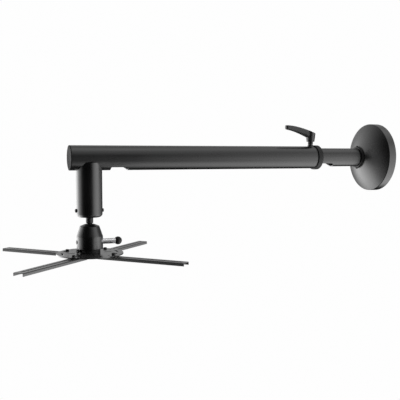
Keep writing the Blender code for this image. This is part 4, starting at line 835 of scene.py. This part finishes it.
def make_wall_cover():
    """Spun cover with a straight rim, tight round edge, full cone and flat nose, and the ring before it."""
    cone_rise = COVER_RIM_X - COVER_ROUNDING - COVER_NOSE_X
    cone_run = COVER_RADIUS - COVER_ROUNDING - COVER_NOSE_RADIUS
    edge_turn = pi / 2.0 - atan2(cone_rise, cone_run)
    outer = cover_corner(COVER_ROUNDING, 0.0, edge_turn, steps=5)
    inner = cover_corner(COVER_ROUNDING - COVER_SHEET, edge_turn, 0.0, steps=2)
    nose_edge = (COVER_NOSE_RADIUS, COVER_NOSE_X + COVER_NOSE_ROUND)
    nose_face = COVER_NOSE_RADIUS - COVER_NOSE_ROUND
    back = COVER_NOSE_X + COVER_SHEET
    outline = [(COVER_RADIUS, -FIT)] + outer + arched(outer[-1], nose_edge, COVER_BULGE)
    outline += [nose_edge, COVER_NOSE_FACET, (nose_face, COVER_NOSE_X), (BUSH_BORE, COVER_NOSE_X)]
    outline += [(BUSH_BORE, back), (nose_face, back)] + arched((nose_face, back), inner[0], -COVER_BULGE)
    outline += inner + [(COVER_RADIUS - COVER_SHEET, -FIT)]
    shell = turn("spun_cover", outline, steps=COVER_STEPS)
    hand_over(soften(shell, TUBE_EDGE), "cover", PAINT, "black_paint", "wall_cover")
    ring = turn("nose_ring", NOSE_RING)
    cut_away(ring, round_bar(RING_HOLE_RADIUS, -RING_HOLE_END, RING_HOLE_END, "Z", RING_SCREW_PLACE))
    hand_over(soften(ring, SMALL_EDGE), "cover", DULL_BLACK, "black_plastic", "cover_ring")


def socket_screw(name, screw, head_low, head_high, tip, centre=ORIGIN):
    """Button-headed screw standing upright, its head on top with a hexagon socket."""
    outline = [(0.0, tip), (screw.shank * SCREW_TIP_RADIUS_SHARE, tip)]
    outline += [(screw.shank, tip + screw.shank * SCREW_TIP_LENGTH_SHARE)]
    outline += [(screw.shank, head_low), (screw.head, head_low)]
    corner = (screw.head - screw.rounding, head_high - screw.rounding)
    outline += corner_arc(screw.rounding, 0.0, pi / 2.0, corner, steps=5) + [(0.0, head_high)]
    blank = turn(name, outline, "Z", centre, SMALL_STEPS)
    key = round_bar(screw.flats / sqrt(3.0), head_high - screw.depth, head_high + screw.depth, "Z", centre, 6)
    return cut_away(blank, key)


def lay_along(piece, centre, heading):
    """Lay an upright piece on its side so that its top points along a level heading."""
    turned = Matrix.Rotation(heading, 4, "Z") @ Matrix.Rotation(pi / 2.0, 4, "Y")
    piece.matrix_world = Matrix.Translation(centre) @ turned
    return settle(piece)


def turn_over(piece):
    """Turn an upright piece upside down about the origin."""
    piece.matrix_world = Matrix.Rotation(pi, 4, "X")
    return settle(piece)


def make_ring_screws():
    """The two small screws in the cover's ring."""
    top = socket_screw("nose_screw_above", RING_SCREW, *RING_SCREW_HEAD_Z, BUSH_BORE, RING_SCREW_PLACE)
    bottom = turn_over(copy_of(top, "nose_screw_below"))
    hand_over(top, "cover", BLACK_STEEL, "black_steel", "ring_screw_top")
    hand_over(bottom, "cover", BLACK_STEEL, "black_steel", "ring_screw_bottom")


def clamp_drill():
    """Drill for the clamp's stud, from the bore up through the tube's wall."""
    return round_bar(CLAMP_DRILL_RADIUS, CLAMP_DRILL_LOW_Z, OUTER_RADIUS + PAST, "Z", CLAMP_AXIS)


def make_outer_tube():
    """Large tube with its cable port below and the hole for the clamp's stud above."""
    tube = pipe("outer_pipe", OUTER_BORE, OUTER_RADIUS, TUBE_END_X, TUBE_MOUTH_X)
    squared = port_tool(OUTER_PORT_SQUARE_END, OUTER_RADIUS, PORT_SQUARE_CORNER)
    cut_away(tube, port_tool(OUTER_PORT, OUTER_RADIUS), squared, clamp_drill())
    hand_over(soften(tube, TUBE_EDGE), "arm", PAINT, "black_paint", "outer_tube")


def make_end_cap():
    """Pressed-in cap: a flange with a shallow dish and gate mark, and a hollow plug."""
    cap = turn("tube_cap", CAP_OUTLINE)
    hand_over(soften(cap, CAP_EDGE), "arm", CAP_PLASTIC, "grey_plastic", "end_cap")


def make_front_collar():
    """Bush in the tube's mouth, with a sleeve inside, a skirt outside and a round nose."""
    nose = corner_arc(COLLAR_ROUNDING, 0.0, pi / 2.0, COLLAR_ROUNDING_CENTRE, steps=8)
    collar = turn("mouth_collar", COLLAR_OUTLINE + nose + [(BUSH_BORE, COLLAR_NOSE_X)])
    cut_away(collar, clamp_drill())
    hand_over(soften(collar, SMALL_EDGE), "arm", MATT_PLASTIC, "black_plastic", "front_collar")


def make_clamp_boss():
    """Boss for the clamp's stud, flared into its weld on the tube."""
    boss = turn("stud_boss", BOSS_OUTLINE, "Z", CLAMP_AXIS, SMALL_STEPS)
    hand_over(soften(boss, SMALL_EDGE), "arm", PAINT, "black_paint", "clamp_boss")


def toothed_bar(name, radius, root_share, teeth, low, high, centre):
    """Upright bar with straight teeth: two in four corners of a circle are drawn in, then it is raised."""
    corners = CORNERS_PER_TOOTH * teeth
    clear_selection()
    bpy.ops.mesh.primitive_circle_add(vertices=corners, radius=radius, fill_type="NGON", location=ORIGIN)
    bar = name_piece(name)

    def in_gap(corner):
        place = int(round(atan2(corner.co.y, corner.co.x) / (2.0 * pi / corners)))
        return place % CORNERS_PER_TOOTH in (0, 1)

    choose(bar, "VERT", in_gap)
    bpy.ops.transform.resize(value=(root_share, root_share, 1.0), center_override=ORIGIN)
    choose_all(bar, "FACE")
    bpy.ops.transform.translate(value=(0.0, 0.0, low))
    bpy.ops.mesh.extrude_region_move(TRANSFORM_OT_translate={"value": (0.0, 0.0, high - low)})
    face_outwards()
    bar.location = centre
    return settle(bar)


def make_clamp_insert():
    """Steel insert: stud, plain neck and toothed head with the screw's hole."""
    insert = turn("toothed_insert", INSERT_OUTLINE, "Z", CLAMP_AXIS, SMALL_STEPS)
    size = (TOOTH_RADIUS, TOOTH_ROOT_SHARE, TEETH, TOOTH_LOW_Z, TOOTH_TOP_Z)
    combine(insert, toothed_bar("insert_head", *size, CLAMP_AXIS), "UNION")
    bore = LEVER_SCREW.shank + FIT
    cut_away(insert, round_bar(bore, LEVER_SCREW_END_Z - FIT, LEVER_DRILL_TOP_Z, "Z", CLAMP_AXIS))
    hand_over(soften(insert, FINE_EDGE), "clamp_stud", BLACK_STEEL, "black_steel", "clamp_insert")


def draw_handle():
    """The lever's rising handle: a round-cornered face drawn out station by station to a round nose."""
    clear_selection()
    bpy.ops.mesh.primitive_plane_add(size=1.0, location=ORIGIN, rotation=(0.0, -pi / 2.0, 0.0))
    handle = settle(name_piece("handle_bar"))
    choose_all(handle, "FACE")
    bpy.ops.transform.resize(value=(1.0, HANDLE_ROOT_WIDTH, HANDLE_ROOT_HEIGHT), center_override=ORIGIN)
    bpy.ops.mesh.bevel(offset=HANDLE_CORNER, segments=6, affect="VERTICES", clamp_overlap=True)
    bpy.ops.mesh.select_mode(type="FACE")
    bpy.ops.mesh.select_all(action="SELECT")
    top = LEVER_TOP_Z - HANDLE_BELOW_TOP
    width = HANDLE_ROOT_WIDTH
    height = HANDLE_ROOT_HEIGHT
    at = on_axis(CLAMP_AXIS, top - height / 2.0)
    bpy.ops.transform.translate(value=at)
    for station in range(1, HANDLE_STATIONS + NOSE_STATIONS + 1):
        bend = max(0, station - HANDLE_STATIONS) / NOSE_STATIONS * pi / 2.0
        straight = (HANDLE_REACH - NOSE_LENGTH) * min(1.0, station / HANDLE_STATIONS)
        reach = straight + NOSE_LENGTH * sin(bend)
        share = reach / HANDLE_REACH
        ease = sin(share * pi / 2.0)
        thin = NOSE_HEIGHT_SHARE + (1.0 - NOSE_HEIGHT_SHARE) * cos(bend)
        slim = NOSE_WIDTH_SHARE + (1.0 - NOSE_WIDTH_SHARE) * cos(bend)
        full_height = HANDLE_ROOT_HEIGHT + (HANDLE_TIP_HEIGHT - HANDLE_ROOT_HEIGHT) * share
        next_height = full_height * thin
        next_width = (HANDLE_ROOT_WIDTH + (HANDLE_TIP_WIDTH - HANDLE_ROOT_WIDTH) * ease) * slim
        crown = top + (HANDLE_RISE - HANDLE_ROOT_HEIGHT) * ease - (full_height - next_height) / 2.0
        spot = CLAMP_AXIS + Vector((-reach, 0.0, crown - next_height / 2.0))
        bpy.ops.mesh.extrude_region_move(TRANSFORM_OT_translate={"value": spot - at})
        bpy.ops.transform.resize(value=(1.0, next_width / width, next_height / height), center_override=spot)
        at, width, height = spot, next_width, next_height
    face_outwards()
    return handle


def make_lever():
    """Moulded lever: a flared hub cut on a slope, fused with its handle and bored from both ends."""
    lever = turn("lever_grip", LEVER_OUTLINE, "Z", CLAMP_AXIS, LEVER_STEPS)
    handle = draw_handle()
    hub_face = LEVER_TOP_Z - LEVER_TOP_RADIUS * sin(LEVER_SLOPE)
    saw = block("slope_saw", LEVER_SAW)
    saw.location = (0.0, 0.0, LEVER_SAW[2] / 2.0)
    settle(saw)
    spot = on_axis(CLAMP_AXIS, hub_face)
    saw.matrix_world = Matrix.Translation(spot) @ Matrix.Rotation(LEVER_SLOPE, 4, "Y")
    cut_away(lever, settle(saw))
    combine(lever, handle, "UNION")
    bores = (
        (TOOTH_RADIUS + TOOTH_CLEARANCE, LEVER_FOOT_Z - PAST, LEVER_WEB_Z[0]),
        (LEVER_SCREW.shank + FIT, LEVER_FOOT_Z, LEVER_DRILL_TOP_Z),
        (LEVER_SCREW.head + FIT, LEVER_WEB_Z[1], LEVER_DRILL_TOP_Z),
    )
    for radius, low, high in bores:
        cut_away(lever, round_bar(radius, low, high, "Z", CLAMP_AXIS))
    hand_over(soften(lever, LEVER_EDGE, 3), "clamp_handle", PLASTIC, "black_plastic", "clamp_lever")


def make_lever_screw():
    """The screw inside the lever's hub."""
    screw = socket_screw("handle_screw", LEVER_SCREW, *LEVER_SCREW_HEAD_Z, LEVER_SCREW_END_Z, CLAMP_AXIS)
    hand_over(screw, "clamp_stud", ZINC, "zinc_steel", "lever_screw")


def make_lever_spring():
    """Coiled spring between the lever's web and the screw's head, drawn at one fixed length; the real one is
    pressed short when the lever is lifted.
    """
    low, high = SPRING_Z
    clear_selection()
    bpy.ops.mesh.primitive_circle_add(
        vertices=SPRING_WIRE_STEPS, radius=SPRING_WIRE, fill_type="NOTHING", rotation=(pi / 2.0, 0.0, 0.0),
        location=(SPRING_RADIUS, 0.0, low + SPRING_WIRE)
    )
    spring = settle(name_piece("lever_coil"))
    pitch = (high - low - 2.0 * SPRING_WIRE) / SPRING_TURNS
    apply_modifier(spring, "SCREW", screw_offset=pitch, iterations=SPRING_TURNS, steps=SPRING_STEPS,
                   render_steps=SPRING_STEPS, use_smooth_shade=True)
    choose_all(spring)
    bpy.ops.mesh.fill_holes(sides=0)
    face_outwards()
    spring.location = CLAMP_AXIS
    hand_over(settle(spring), "clamp_stud", ZINC, "zinc_steel", "lever_spring")
    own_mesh(spring)


def make_drop_tube():
    """Upright tube saddled to the arm, with a round closed foot."""
    inside = DROP_ROUNDING - (DROP_FLOOR_Z - DROP_FOOT_Z)
    outer_corner = (DROP_RADIUS - DROP_ROUNDING, DROP_FOOT_Z + DROP_ROUNDING)
    inner_corner = (DROP_BORE - inside, DROP_FLOOR_Z + inside)
    outline = [(DROP_BORE, DROP_LIP_Z), (DROP_RADIUS, DROP_LIP_Z)]
    outline += corner_arc(DROP_ROUNDING, 0.0, -pi / 2.0, outer_corner, steps=10)
    outline += [(STUD_HOLE, DROP_FOOT_Z), (STUD_HOLE, DROP_FLOOR_Z)]
    outline += corner_arc(inside, -pi / 2.0, 0.0, inner_corner, steps=4)
    tube = turn("drop_pipe", outline, "Z", DROP_AXIS)
    reach = DROP_RADIUS + PAST
    cut_away(tube, round_bar(SADDLE_RADIUS, -reach, reach, "X", DROP_AXIS, TUBE_STEPS))
    screws = on_axis(DROP_AXIS, SIDE_SCREW_Z)
    cut_away(tube, round_bar(SIDE_SCREW.shank + FIT, -reach, reach, "X", screws))
    hand_over(soften(tube, TUBE_EDGE), "arm", PAINT, "black_paint", "drop_tube")


def make_side_screws():
    """The two button-headed screws that hold the plug in the drop tube."""
    screw = socket_screw("plug_screw_right", SIDE_SCREW, *SIDE_SCREW_HEAD, SIDE_SCREW_TIP)
    other = copy_of(screw, "plug_screw_left")
    spot = on_axis(DROP_AXIS, SIDE_SCREW_Z)
    hand_over(lay_along(screw, spot, 0.0), "arm", BLACK_STEEL, "black_steel", "drop_screw_right")
    hand_over(lay_along(other, spot, pi), "arm", BLACK_STEEL, "black_steel", "drop_screw_left")


def make_ball_stud():
    """Ball, waist, thick neck, and the shank up through the plug."""
    waist_turn = asin(sqrt(BALL_RADIUS ** 2 - STUD_WAIST_RADIUS ** 2) / BALL_RADIUS)
    ball = corner_arc(BALL_RADIUS, -pi / 2.0, waist_turn, (0.0, 0.0), steps=26)
    outline = [(0.0, -BALL_RADIUS)] + ball[1:] + STUD_OUTLINE
    stud = turn("ball_pin", outline, "Z", on_axis(DROP_AXIS, BALL_Z), BALL_STEPS)
    hand_over(soften(stud, FINE_EDGE), "arm", BLACK_STEEL, "black_steel", "ball_stud")


def raised(outline, level):
    """An outline moved to a level."""
    return [(radius, level + height) for radius, height in outline]


def make_bell():
    """Bell with a coned shoulder over a straight skirt, bored for the lock and its retaining screw."""
    slope = atan2(BELL_RADIUS - BELL_TOP_RADIUS, BELL_CONE_HEIGHT)
    run = BELL_SHOULDER * tan(slope / 2.0)
    corner = (BELL_RADIUS - BELL_SHOULDER, BELL_HIGH.z - BELL_CONE_HEIGHT - run)
    outline = raised(BELL_TOP, BELL_HIGH.z) + corner_arc(BELL_SHOULDER, slope, 0.0, corner, steps=5)
    outline += raised(BELL_FOOT, BELL_LOW.z) + raised(BELL_WEB, HUB_HIGH.z + FIT)
    bell = turn("lock_bell", outline, "Z", DROP_AXIS, BELL_STEPS)
    level = on_axis(DROP_AXIS, LOCK_Z)
    reach = BELL_RADIUS + PAST
    cut_away(bell, round_bar(LOCK_BORE, BELL_SIDE_HOLES_FROM, reach, "X", level))
    cut_away(bell, round_bar(RETAINER_HOLE_RADIUS, -reach, -BELL_SIDE_HOLES_FROM, "X", level))
    hand_over(soften(bell, SMALL_EDGE), "bell", PAINT, "black_paint", "bell_housing")


def make_bell_cap():
    """Coned ring that closes the bell over the ball."""
    low_turn = asin(min(1.0, (CAP_LOW.z - BALL_Z) / CAP_CAVITY))
    mouth_turn = asin(sqrt(CAP_CAVITY ** 2 - CAP_MOUTH_RADIUS ** 2) / CAP_CAVITY)
    outline = corner_arc(CAP_CAVITY, low_turn, mouth_turn, (0.0, BALL_Z), steps=8)
    outline += raised(BELL_CAP_TOP, CAP_HIGH.z) + raised(BELL_CAP_FOOT, CAP_LOW.z)
    cap = turn("bell_ring", outline, "Z", DROP_AXIS, BELL_STEPS)
    hand_over(soften(cap, FINE_EDGE), "bell", PAINT, "black_paint", "bell_cap")


def make_lock():
    """Bright lock rod with its ball knob, and the small screw on the far side of the bell."""
    centre = on_axis(DROP_AXIS, LOCK_Z)
    rod = turn("lock_bar", LOCK_OUTLINE, "X", centre, BALL_STEPS)
    hand_over(soften(rod, SMALL_EDGE), "lock", BRIGHT, "bright_steel", "lock_rod")
    ball = corner_arc(KNOB_RADIUS, 0.0, pi - asin(LOCK_BORE / KNOB_RADIUS), (KNOB_CENTRE, 0.0), steps=28)
    outline = [(0.0, KNOB_CENTRE + KNOB_RADIUS)] + [(radius, along) for along, radius in ball[1:]]
    outline += [(LOCK_BORE, KNOB_FLOOR), (0.0, KNOB_FLOOR)]
    knob = turn("lock_ball", outline, "X", centre, BALL_STEPS)
    hand_over(soften(knob, SMALL_EDGE), "lock", MATT_PLASTIC, "black_plastic", "lock_knob")
    pin = socket_screw("bell_screw", RETAINER, *RETAINER_HEAD, RETAINER_TIP)
    hand_over(lay_along(pin, centre, pi), "bell", PAINT, "black_steel", "retaining_screw")


def make_hub():
    """Turned hub with the groove for the lock's tip and the hole for its side screw."""
    outline = raised(HUB_TOP, HUB_HIGH.z) + raised(HUB_GROOVE, LOCK_Z) + raised(HUB_BOSS, HUB_LOW.z)
    hub = turn("turned_hub", outline, "Z", DROP_AXIS, BELL_STEPS)
    drill = round_bar(HUB_SIDE_HOLE_RADIUS, *HUB_SIDE_HOLE, "X")
    drill.matrix_world = Matrix.Translation(HUB_SIDE_PLACE) @ Matrix.Rotation(HUB_SIDE_TURN, 4, "Z")
    cut_away(hub, settle(drill))
    hand_over(soften(hub, FINE_EDGE), "hub", DULL_BLACK, "black_paint", "hub_spigot")


def make_thumb_screw():
    """The hub's side screw, with a toothed and slotted head."""
    screw = turn("hub_thumb_screw", THUMB_OUTLINE, "Z", ORIGIN, SMALL_STEPS)
    size = (THUMB_HEAD_RADIUS, THUMB_ROOT_SHARE, THUMB_TEETH, *THUMB_HEAD)
    combine(screw, toothed_bar("thumb_head", *size, ORIGIN), "UNION")
    top = THUMB_HEAD[1]
    levels = (top - THUMB_SLOT_DEPTH, top + THUMB_SLOT_DEPTH)
    cut_away(screw, slot_bar(THUMB_SLOT_LENGTH, THUMB_SLOT_WIDTH, *levels, THUMB_SLOT_CORNER))
    soften(screw, THUMB_EDGE)
    lay_along(screw, HUB_SIDE_PLACE, HUB_SIDE_TURN)
    hand_over(screw, "hub", DULL_BLACK, "black_steel", "hub_side_screw")


def plate_drill(radius, spot):
    """Drill through the spider plate."""
    return round_bar(radius, PLATE_LOW.z - PAST, PLATE_HIGH.z + PAST, "Z", spot, SMALL_HOLE_STEPS)


def arc_slot_bar(start, end):
    """A curved milling bar: an upright face swept round the plate's axis, with round ends."""
    low = PLATE_LOW.z - PAST
    high = PLATE_HIGH.z + PAST
    clear_selection()
    bpy.ops.mesh.primitive_plane_add(size=1.0, location=ORIGIN, rotation=(pi / 2.0, 0.0, 0.0))
    bar = name_piece("arc_mill")
    bar.scale = (ARC_SLOT_WIDTH, high - low, 1.0)
    bar.location = (PIVOT_RADIUS, 0.0, (low + high) / 2.0)
    settle(bar)
    bar.rotation_euler = (0.0, 0.0, start)
    choose_all(settle(bar), "FACE")
    bpy.ops.mesh.spin(steps=12, angle=end - start, center=ORIGIN, axis=(0.0, 0.0, 1.0))
    face_outwards()
    for angle in (start, end):
        combine(bar, plate_drill(ARC_SLOT_WIDTH / 2.0, level_spot(PIVOT_RADIUS, angle)), "UNION")
    bar.location = DROP_AXIS
    return settle(bar)


def make_plate():
    """Round plate with screw holes, eight curved slots and four spoke slots."""
    low = PLATE_LOW.z
    high = PLATE_HIGH.z
    outline = [(HUB_BORE, low), (PLATE_RADIUS, low), (PLATE_RADIUS, high), (HUB_BORE, high)]
    plate = turn("spider_disc", outline, "Z", DROP_AXIS, COVER_STEPS)
    for quarter in range(4):
        spot = level_spot(HUB_SCREW_PITCH, quarter * pi / 2.0)
        cut_away(plate, plate_drill(HUB_SCREW_HOLE, DROP_AXIS + spot))
    slot_from, slot_to = SPOKE_SLOT
    for heading in ARM_HEADINGS.values():
        cut_away(plate, plate_drill(SCREW_HOLE, DROP_AXIS + level_spot(PIVOT_RADIUS, heading)))
        cut_away(plate, arc_slot_bar(heading - ARC_SLOT_TO, heading - ARC_SLOT_FROM))
        cut_away(plate, arc_slot_bar(heading + ARC_SLOT_FROM, heading + ARC_SLOT_TO))
        spoke = heading - pi / 4.0
        middle = DROP_AXIS + level_spot((slot_from + slot_to) / 2.0, spoke)
        cut_away(plate, slot_bar(slot_to - slot_from, ARC_SLOT_WIDTH, low - PAST, high + PAST,
                                 ARC_SLOT_WIDTH / 2.0, middle, spoke))
    hand_over(soften(plate, PLATE_EDGE), "hub", SHEET, "grey_black_sheet", "spider_plate")


def make_hub_screws():
    """Four button-headed screws that hold the plate from below."""
    low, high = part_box("hub_screw_1")
    model = turn_over(socket_screw("plate_screw", HUB_SCREW, FIT - PLATE_LOW.z, -low.z, -high.z))
    for number in range(4):
        piece = copy_of(model, "plate_screw_" + str(number + 1))
        piece.location = DROP_AXIS + level_spot(HUB_SCREW_PITCH, number * pi / 2.0)
        hand_over(settle(piece), "hub", ZINC, "zinc_steel", "hub_screw_" + str(number + 1))
    bpy.data.objects.remove(model)


def make_channel():
    """One folded arm along +X from the hub's axis, open downwards, with its long slot."""
    channel = block("channel_arm", (ARM_REACH - ARM_START, ARM_WIDTH, ARM_DEPTH))
    channel.location = ((ARM_REACH + ARM_START) / 2.0, 0.0, ARM_TOP_Z - ARM_DEPTH / 2.0)
    settle(channel)
    choose(channel, "FACE", lambda face: face.normal.z < -FACING or abs(face.normal.x) > FACING)
    bpy.ops.mesh.delete(type="FACE")
    bpy.ops.object.mode_set(mode="OBJECT")

    def fold_line(edge):
        first, second = edge_ends(channel, edge)
        return abs(first.x - second.x) > ARM_START and first.z > ARM_TOP_Z - MERGE

    choose(channel, "EDGE", fold_line)
    bpy.ops.mesh.bevel(offset=ARM_BEND, segments=6, affect="EDGES", clamp_overlap=True)
    bpy.ops.object.mode_set(mode="OBJECT")
    apply_modifier(channel, "SOLIDIFY", thickness=ARM_SHEET, offset=-1.0, use_even_offset=True)
    middle = Vector(((ARM_REACH + ARM_START) / 2.0, 0.0, 0.0))
    length = ARM_REACH - ARM_START - 2.0 * ARM_SLOT_END
    cut_away(channel, slot_bar(length, ARM_SLOT_WIDTH, ARM_TOP_Z - PAST, ARM_TOP_Z + PAST,
                               ARM_SLOT_WIDTH / 2.0, middle))
    return soften(channel, SMALL_EDGE)


def make_arm_screw():
    """One button-headed screw, standing on the hub's axis."""
    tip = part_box("arm_screw_back_right")[0].z
    seat = PLATE_HIGH.z + FIT
    return socket_screw("arm_button_screw", ARM_SCREW, seat, seat + ARM_SCREW_HEAD_HEIGHT, tip)


def make_arm_nut():
    """One hexagon nut with chamfered corners, on the hub's axis."""
    low, high = (corner.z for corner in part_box("arm_nut_back_right"))
    outside = NUT_FACE_RADIUS + NUT_CHAMFER
    outline = [(0.0, low), (NUT_FACE_RADIUS, low), (outside, low + NUT_CHAMFER_HEIGHT)]
    outline += [(outside, high - NUT_CHAMFER_HEIGHT), (NUT_FACE_RADIUS, high), (0.0, high)]
    nut = turn("arm_hex_nut", outline, "Z", ORIGIN, SMALL_STEPS)
    combine(nut, round_bar(NUT_FLATS / sqrt(3.0), low, high, "Z", ORIGIN, 6), "INTERSECT")
    return cut_away(nut, round_bar(SCREW_HOLE, low - PAST, high + PAST, "Z", ORIGIN, SMALL_HOLE_STEPS))


def make_spider():
    """Four arms with their button screws, nuts and nylon washers, each placed from one model."""
    low, high = (corner.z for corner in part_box("arm_spacer_back_right"))
    outline = [(SCREW_HOLE, low), (SPACER_RADIUS, low), (SPACER_RADIUS, high), (SCREW_HOLE, high)]
    washer = turn("nylon_washer", outline, "Z", ORIGIN, SMALL_STEPS)
    soften(washer, SPACER_EDGE)
    models = {"arm": (make_channel(), 0.0), "screw": (make_arm_screw(), PIVOT_RADIUS),
              "nut": (make_arm_nut(), PIVOT_RADIUS), "washer": (washer, PIVOT_RADIUS)}
    for side, heading in ARM_HEADINGS.items():
        placed = {}
        for kind, (model, out) in models.items():
            piece = copy_of(model, kind + "_piece_" + side)
            spot = Matrix.Translation(DROP_AXIS + level_spot(out, heading))
            piece.matrix_world = spot @ Matrix.Rotation(heading, 4, "Z")
            placed[kind] = settle(piece)
        hand_over(placed["arm"], "spider_" + side, ARM_PAINT, "grey_black_sheet", "arm_" + side)
        hand_over(placed["screw"], "bolt_" + side, BLACK_STEEL, "black_steel", "arm_screw_" + side)
        hand_over(placed["nut"], "bolt_" + side, ZINC, "zinc_steel", "arm_nut_" + side)
        hand_over(placed["washer"], "hub", NYLON, "nylon", "arm_spacer_" + side)
    for model, out in models.values():
        bpy.data.objects.remove(model)


def paint_kept_solids():
    """Give the solids that stay as they are their finishes."""
    kept = {"clamp_pad": BRASS, "drop_plug": ALUMINIUM, "stud_nut": ZINC, "ball_liner": NYLON,
            "ball_seat": NYLON}
    for name, finish in kept.items():
        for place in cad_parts[name].material_slots:
            place.material = finish


def camera_or_other(tree, seen, other):
    """Show one shader to the camera and another to every other ray."""
    to_camera = tree.nodes.new("ShaderNodeLightPath").outputs["Is Camera Ray"]
    return node_with(tree, "ShaderNodeMixShader", {0: to_camera, 1: other, 2: seen}).outputs[0]


def make_floor():
    """Pale floor, as bright as the background from above and clear from below."""
    clear_selection()
    bpy.ops.mesh.primitive_plane_add(size=FLOOR_SIZE, location=(0.0, 0.0, FLOOR_Z))
    floor = name_piece("studio_floor")
    pale = bpy.data.materials.new("pale_floor")
    pale.use_nodes = True
    tree = pale.node_tree
    shader = fed(tree, tree.nodes["Principled BSDF"], {"Roughness": FLOOR_ROUGHNESS, "Base Color": PALE})
    glow = node_with(tree, "ShaderNodeEmission", {"Color": PALE})
    shown = camera_or_other(tree, glow.outputs[0], shader.outputs[0])
    below = tree.nodes.new("ShaderNodeNewGeometry").outputs["Backfacing"]
    clear = tree.nodes.new("ShaderNodeBsdfTransparent").outputs[0]
    either = node_with(tree, "ShaderNodeMixShader", {0: below, 1: shown, 2: clear}).outputs[0]
    fed(tree, tree.nodes["Material Output"], {"Surface": either})
    floor.data.materials.append(pale)
    floor.visible_glossy = False
    floor.visible_diffuse = False
    floor.visible_shadow = False


def window_group():
    """Glow of one soft window in the surroundings, brightest where a ray points at its middle."""
    values = {"Aim": (0.0, 0.0, 1.0), "Edge": 0.5, "Glow": 1.0}
    group, start, end = group_with("soft_window", values, ("Light",))
    ray = group.nodes.new("ShaderNodeTexCoord").outputs["Generated"]
    likeness = vector_maths(group, "DOT_PRODUCT", ray, start.outputs["Aim"]).outputs["Value"]
    inputs = {"Value": likeness, "From Min": start.outputs["Edge"], "To Max": start.outputs["Glow"]}
    fade = node_with(group, "ShaderNodeMapRange", inputs, interpolation_type="SMOOTHSTEP")
    fed(group, end, {"Light": fade.outputs[0]})
    return group


def make_air():
    """Surroundings: pale for the camera, and a dark room with soft windows for every other ray."""
    world = bpy.data.worlds.new("studio_air")
    bpy.context.scene.world = world
    world.use_nodes = True
    tree = world.node_tree
    window = window_group()
    light = ROOM_GLOW
    for aim, edge, glow in WINDOWS:
        placed = placed_group(tree, window, Aim=Vector(aim).normalized(), Edge=edge, Glow=glow)
        light = maths(tree, "ADD", light, placed.outputs["Light"])
    room = fed(tree, tree.nodes["Background"], {"Color": WHITE, "Strength": light})
    seen = node_with(tree, "ShaderNodeBackground", {"Color": PALE})
    shown = camera_or_other(tree, seen.outputs[0], room.outputs[0])
    fed(tree, tree.nodes["World Output"], {"Surface": shown})


def make_soft_box():
    """One soft box above the arm, which the camera doesn't see."""
    light = bpy.data.lights.new("box_above", "AREA")
    light.shape = "RECTANGLE"
    light.size = BOX_WIDTH
    light.size_y = BOX_HEIGHT
    light.energy = BOX_GLOW * pi * BOX_WIDTH * BOX_HEIGHT
    box = bpy.data.objects.new("box_above", light)
    bpy.context.scene.collection.objects.link(box)
    box.location = BOX_PLACE
    box.rotation_euler = (BOX_PLACE - BOX_AIM).to_track_quat("Z", "Y").to_euler()
    box.visible_camera = False


def make_camera():
    """Camera at the photograph's viewing angle."""
    lens = bpy.data.cameras.new("view_camera")
    lens.lens = CAMERA_LENS
    lens.sensor_width = CAMERA_SENSOR
    camera = bpy.data.objects.new("view_camera", lens)
    bpy.context.scene.collection.objects.link(camera)
    back = -level_spot(cos(CAMERA_TILT), CAMERA_HEADING) + Vector((0.0, 0.0, sin(CAMERA_TILT)))
    turned = back.to_track_quat("Z", "Y").to_matrix().to_4x4()
    camera.matrix_world = Matrix.Translation(CAMERA_PLACE) @ turned @ Matrix.Rotation(CAMERA_ROLL, 4, "Z")
    bpy.context.scene.camera = camera
    bpy.context.scene.view_settings.view_transform = "Standard"


make_wall_plate()
make_inner_tube()
make_wall_cover()
make_ring_screws()
make_outer_tube()
make_end_cap()
make_front_collar()
make_clamp_boss()
make_clamp_insert()
make_lever()
make_lever_screw()
make_lever_spring()
make_drop_tube()
make_side_screws()
make_ball_stud()
make_bell()
make_bell_cap()
make_lock()
make_hub()
make_thumb_screw()
make_plate()
make_hub_screws()
make_spider()
paint_kept_solids()
make_floor()
make_air()
make_soft_box()
make_camera()
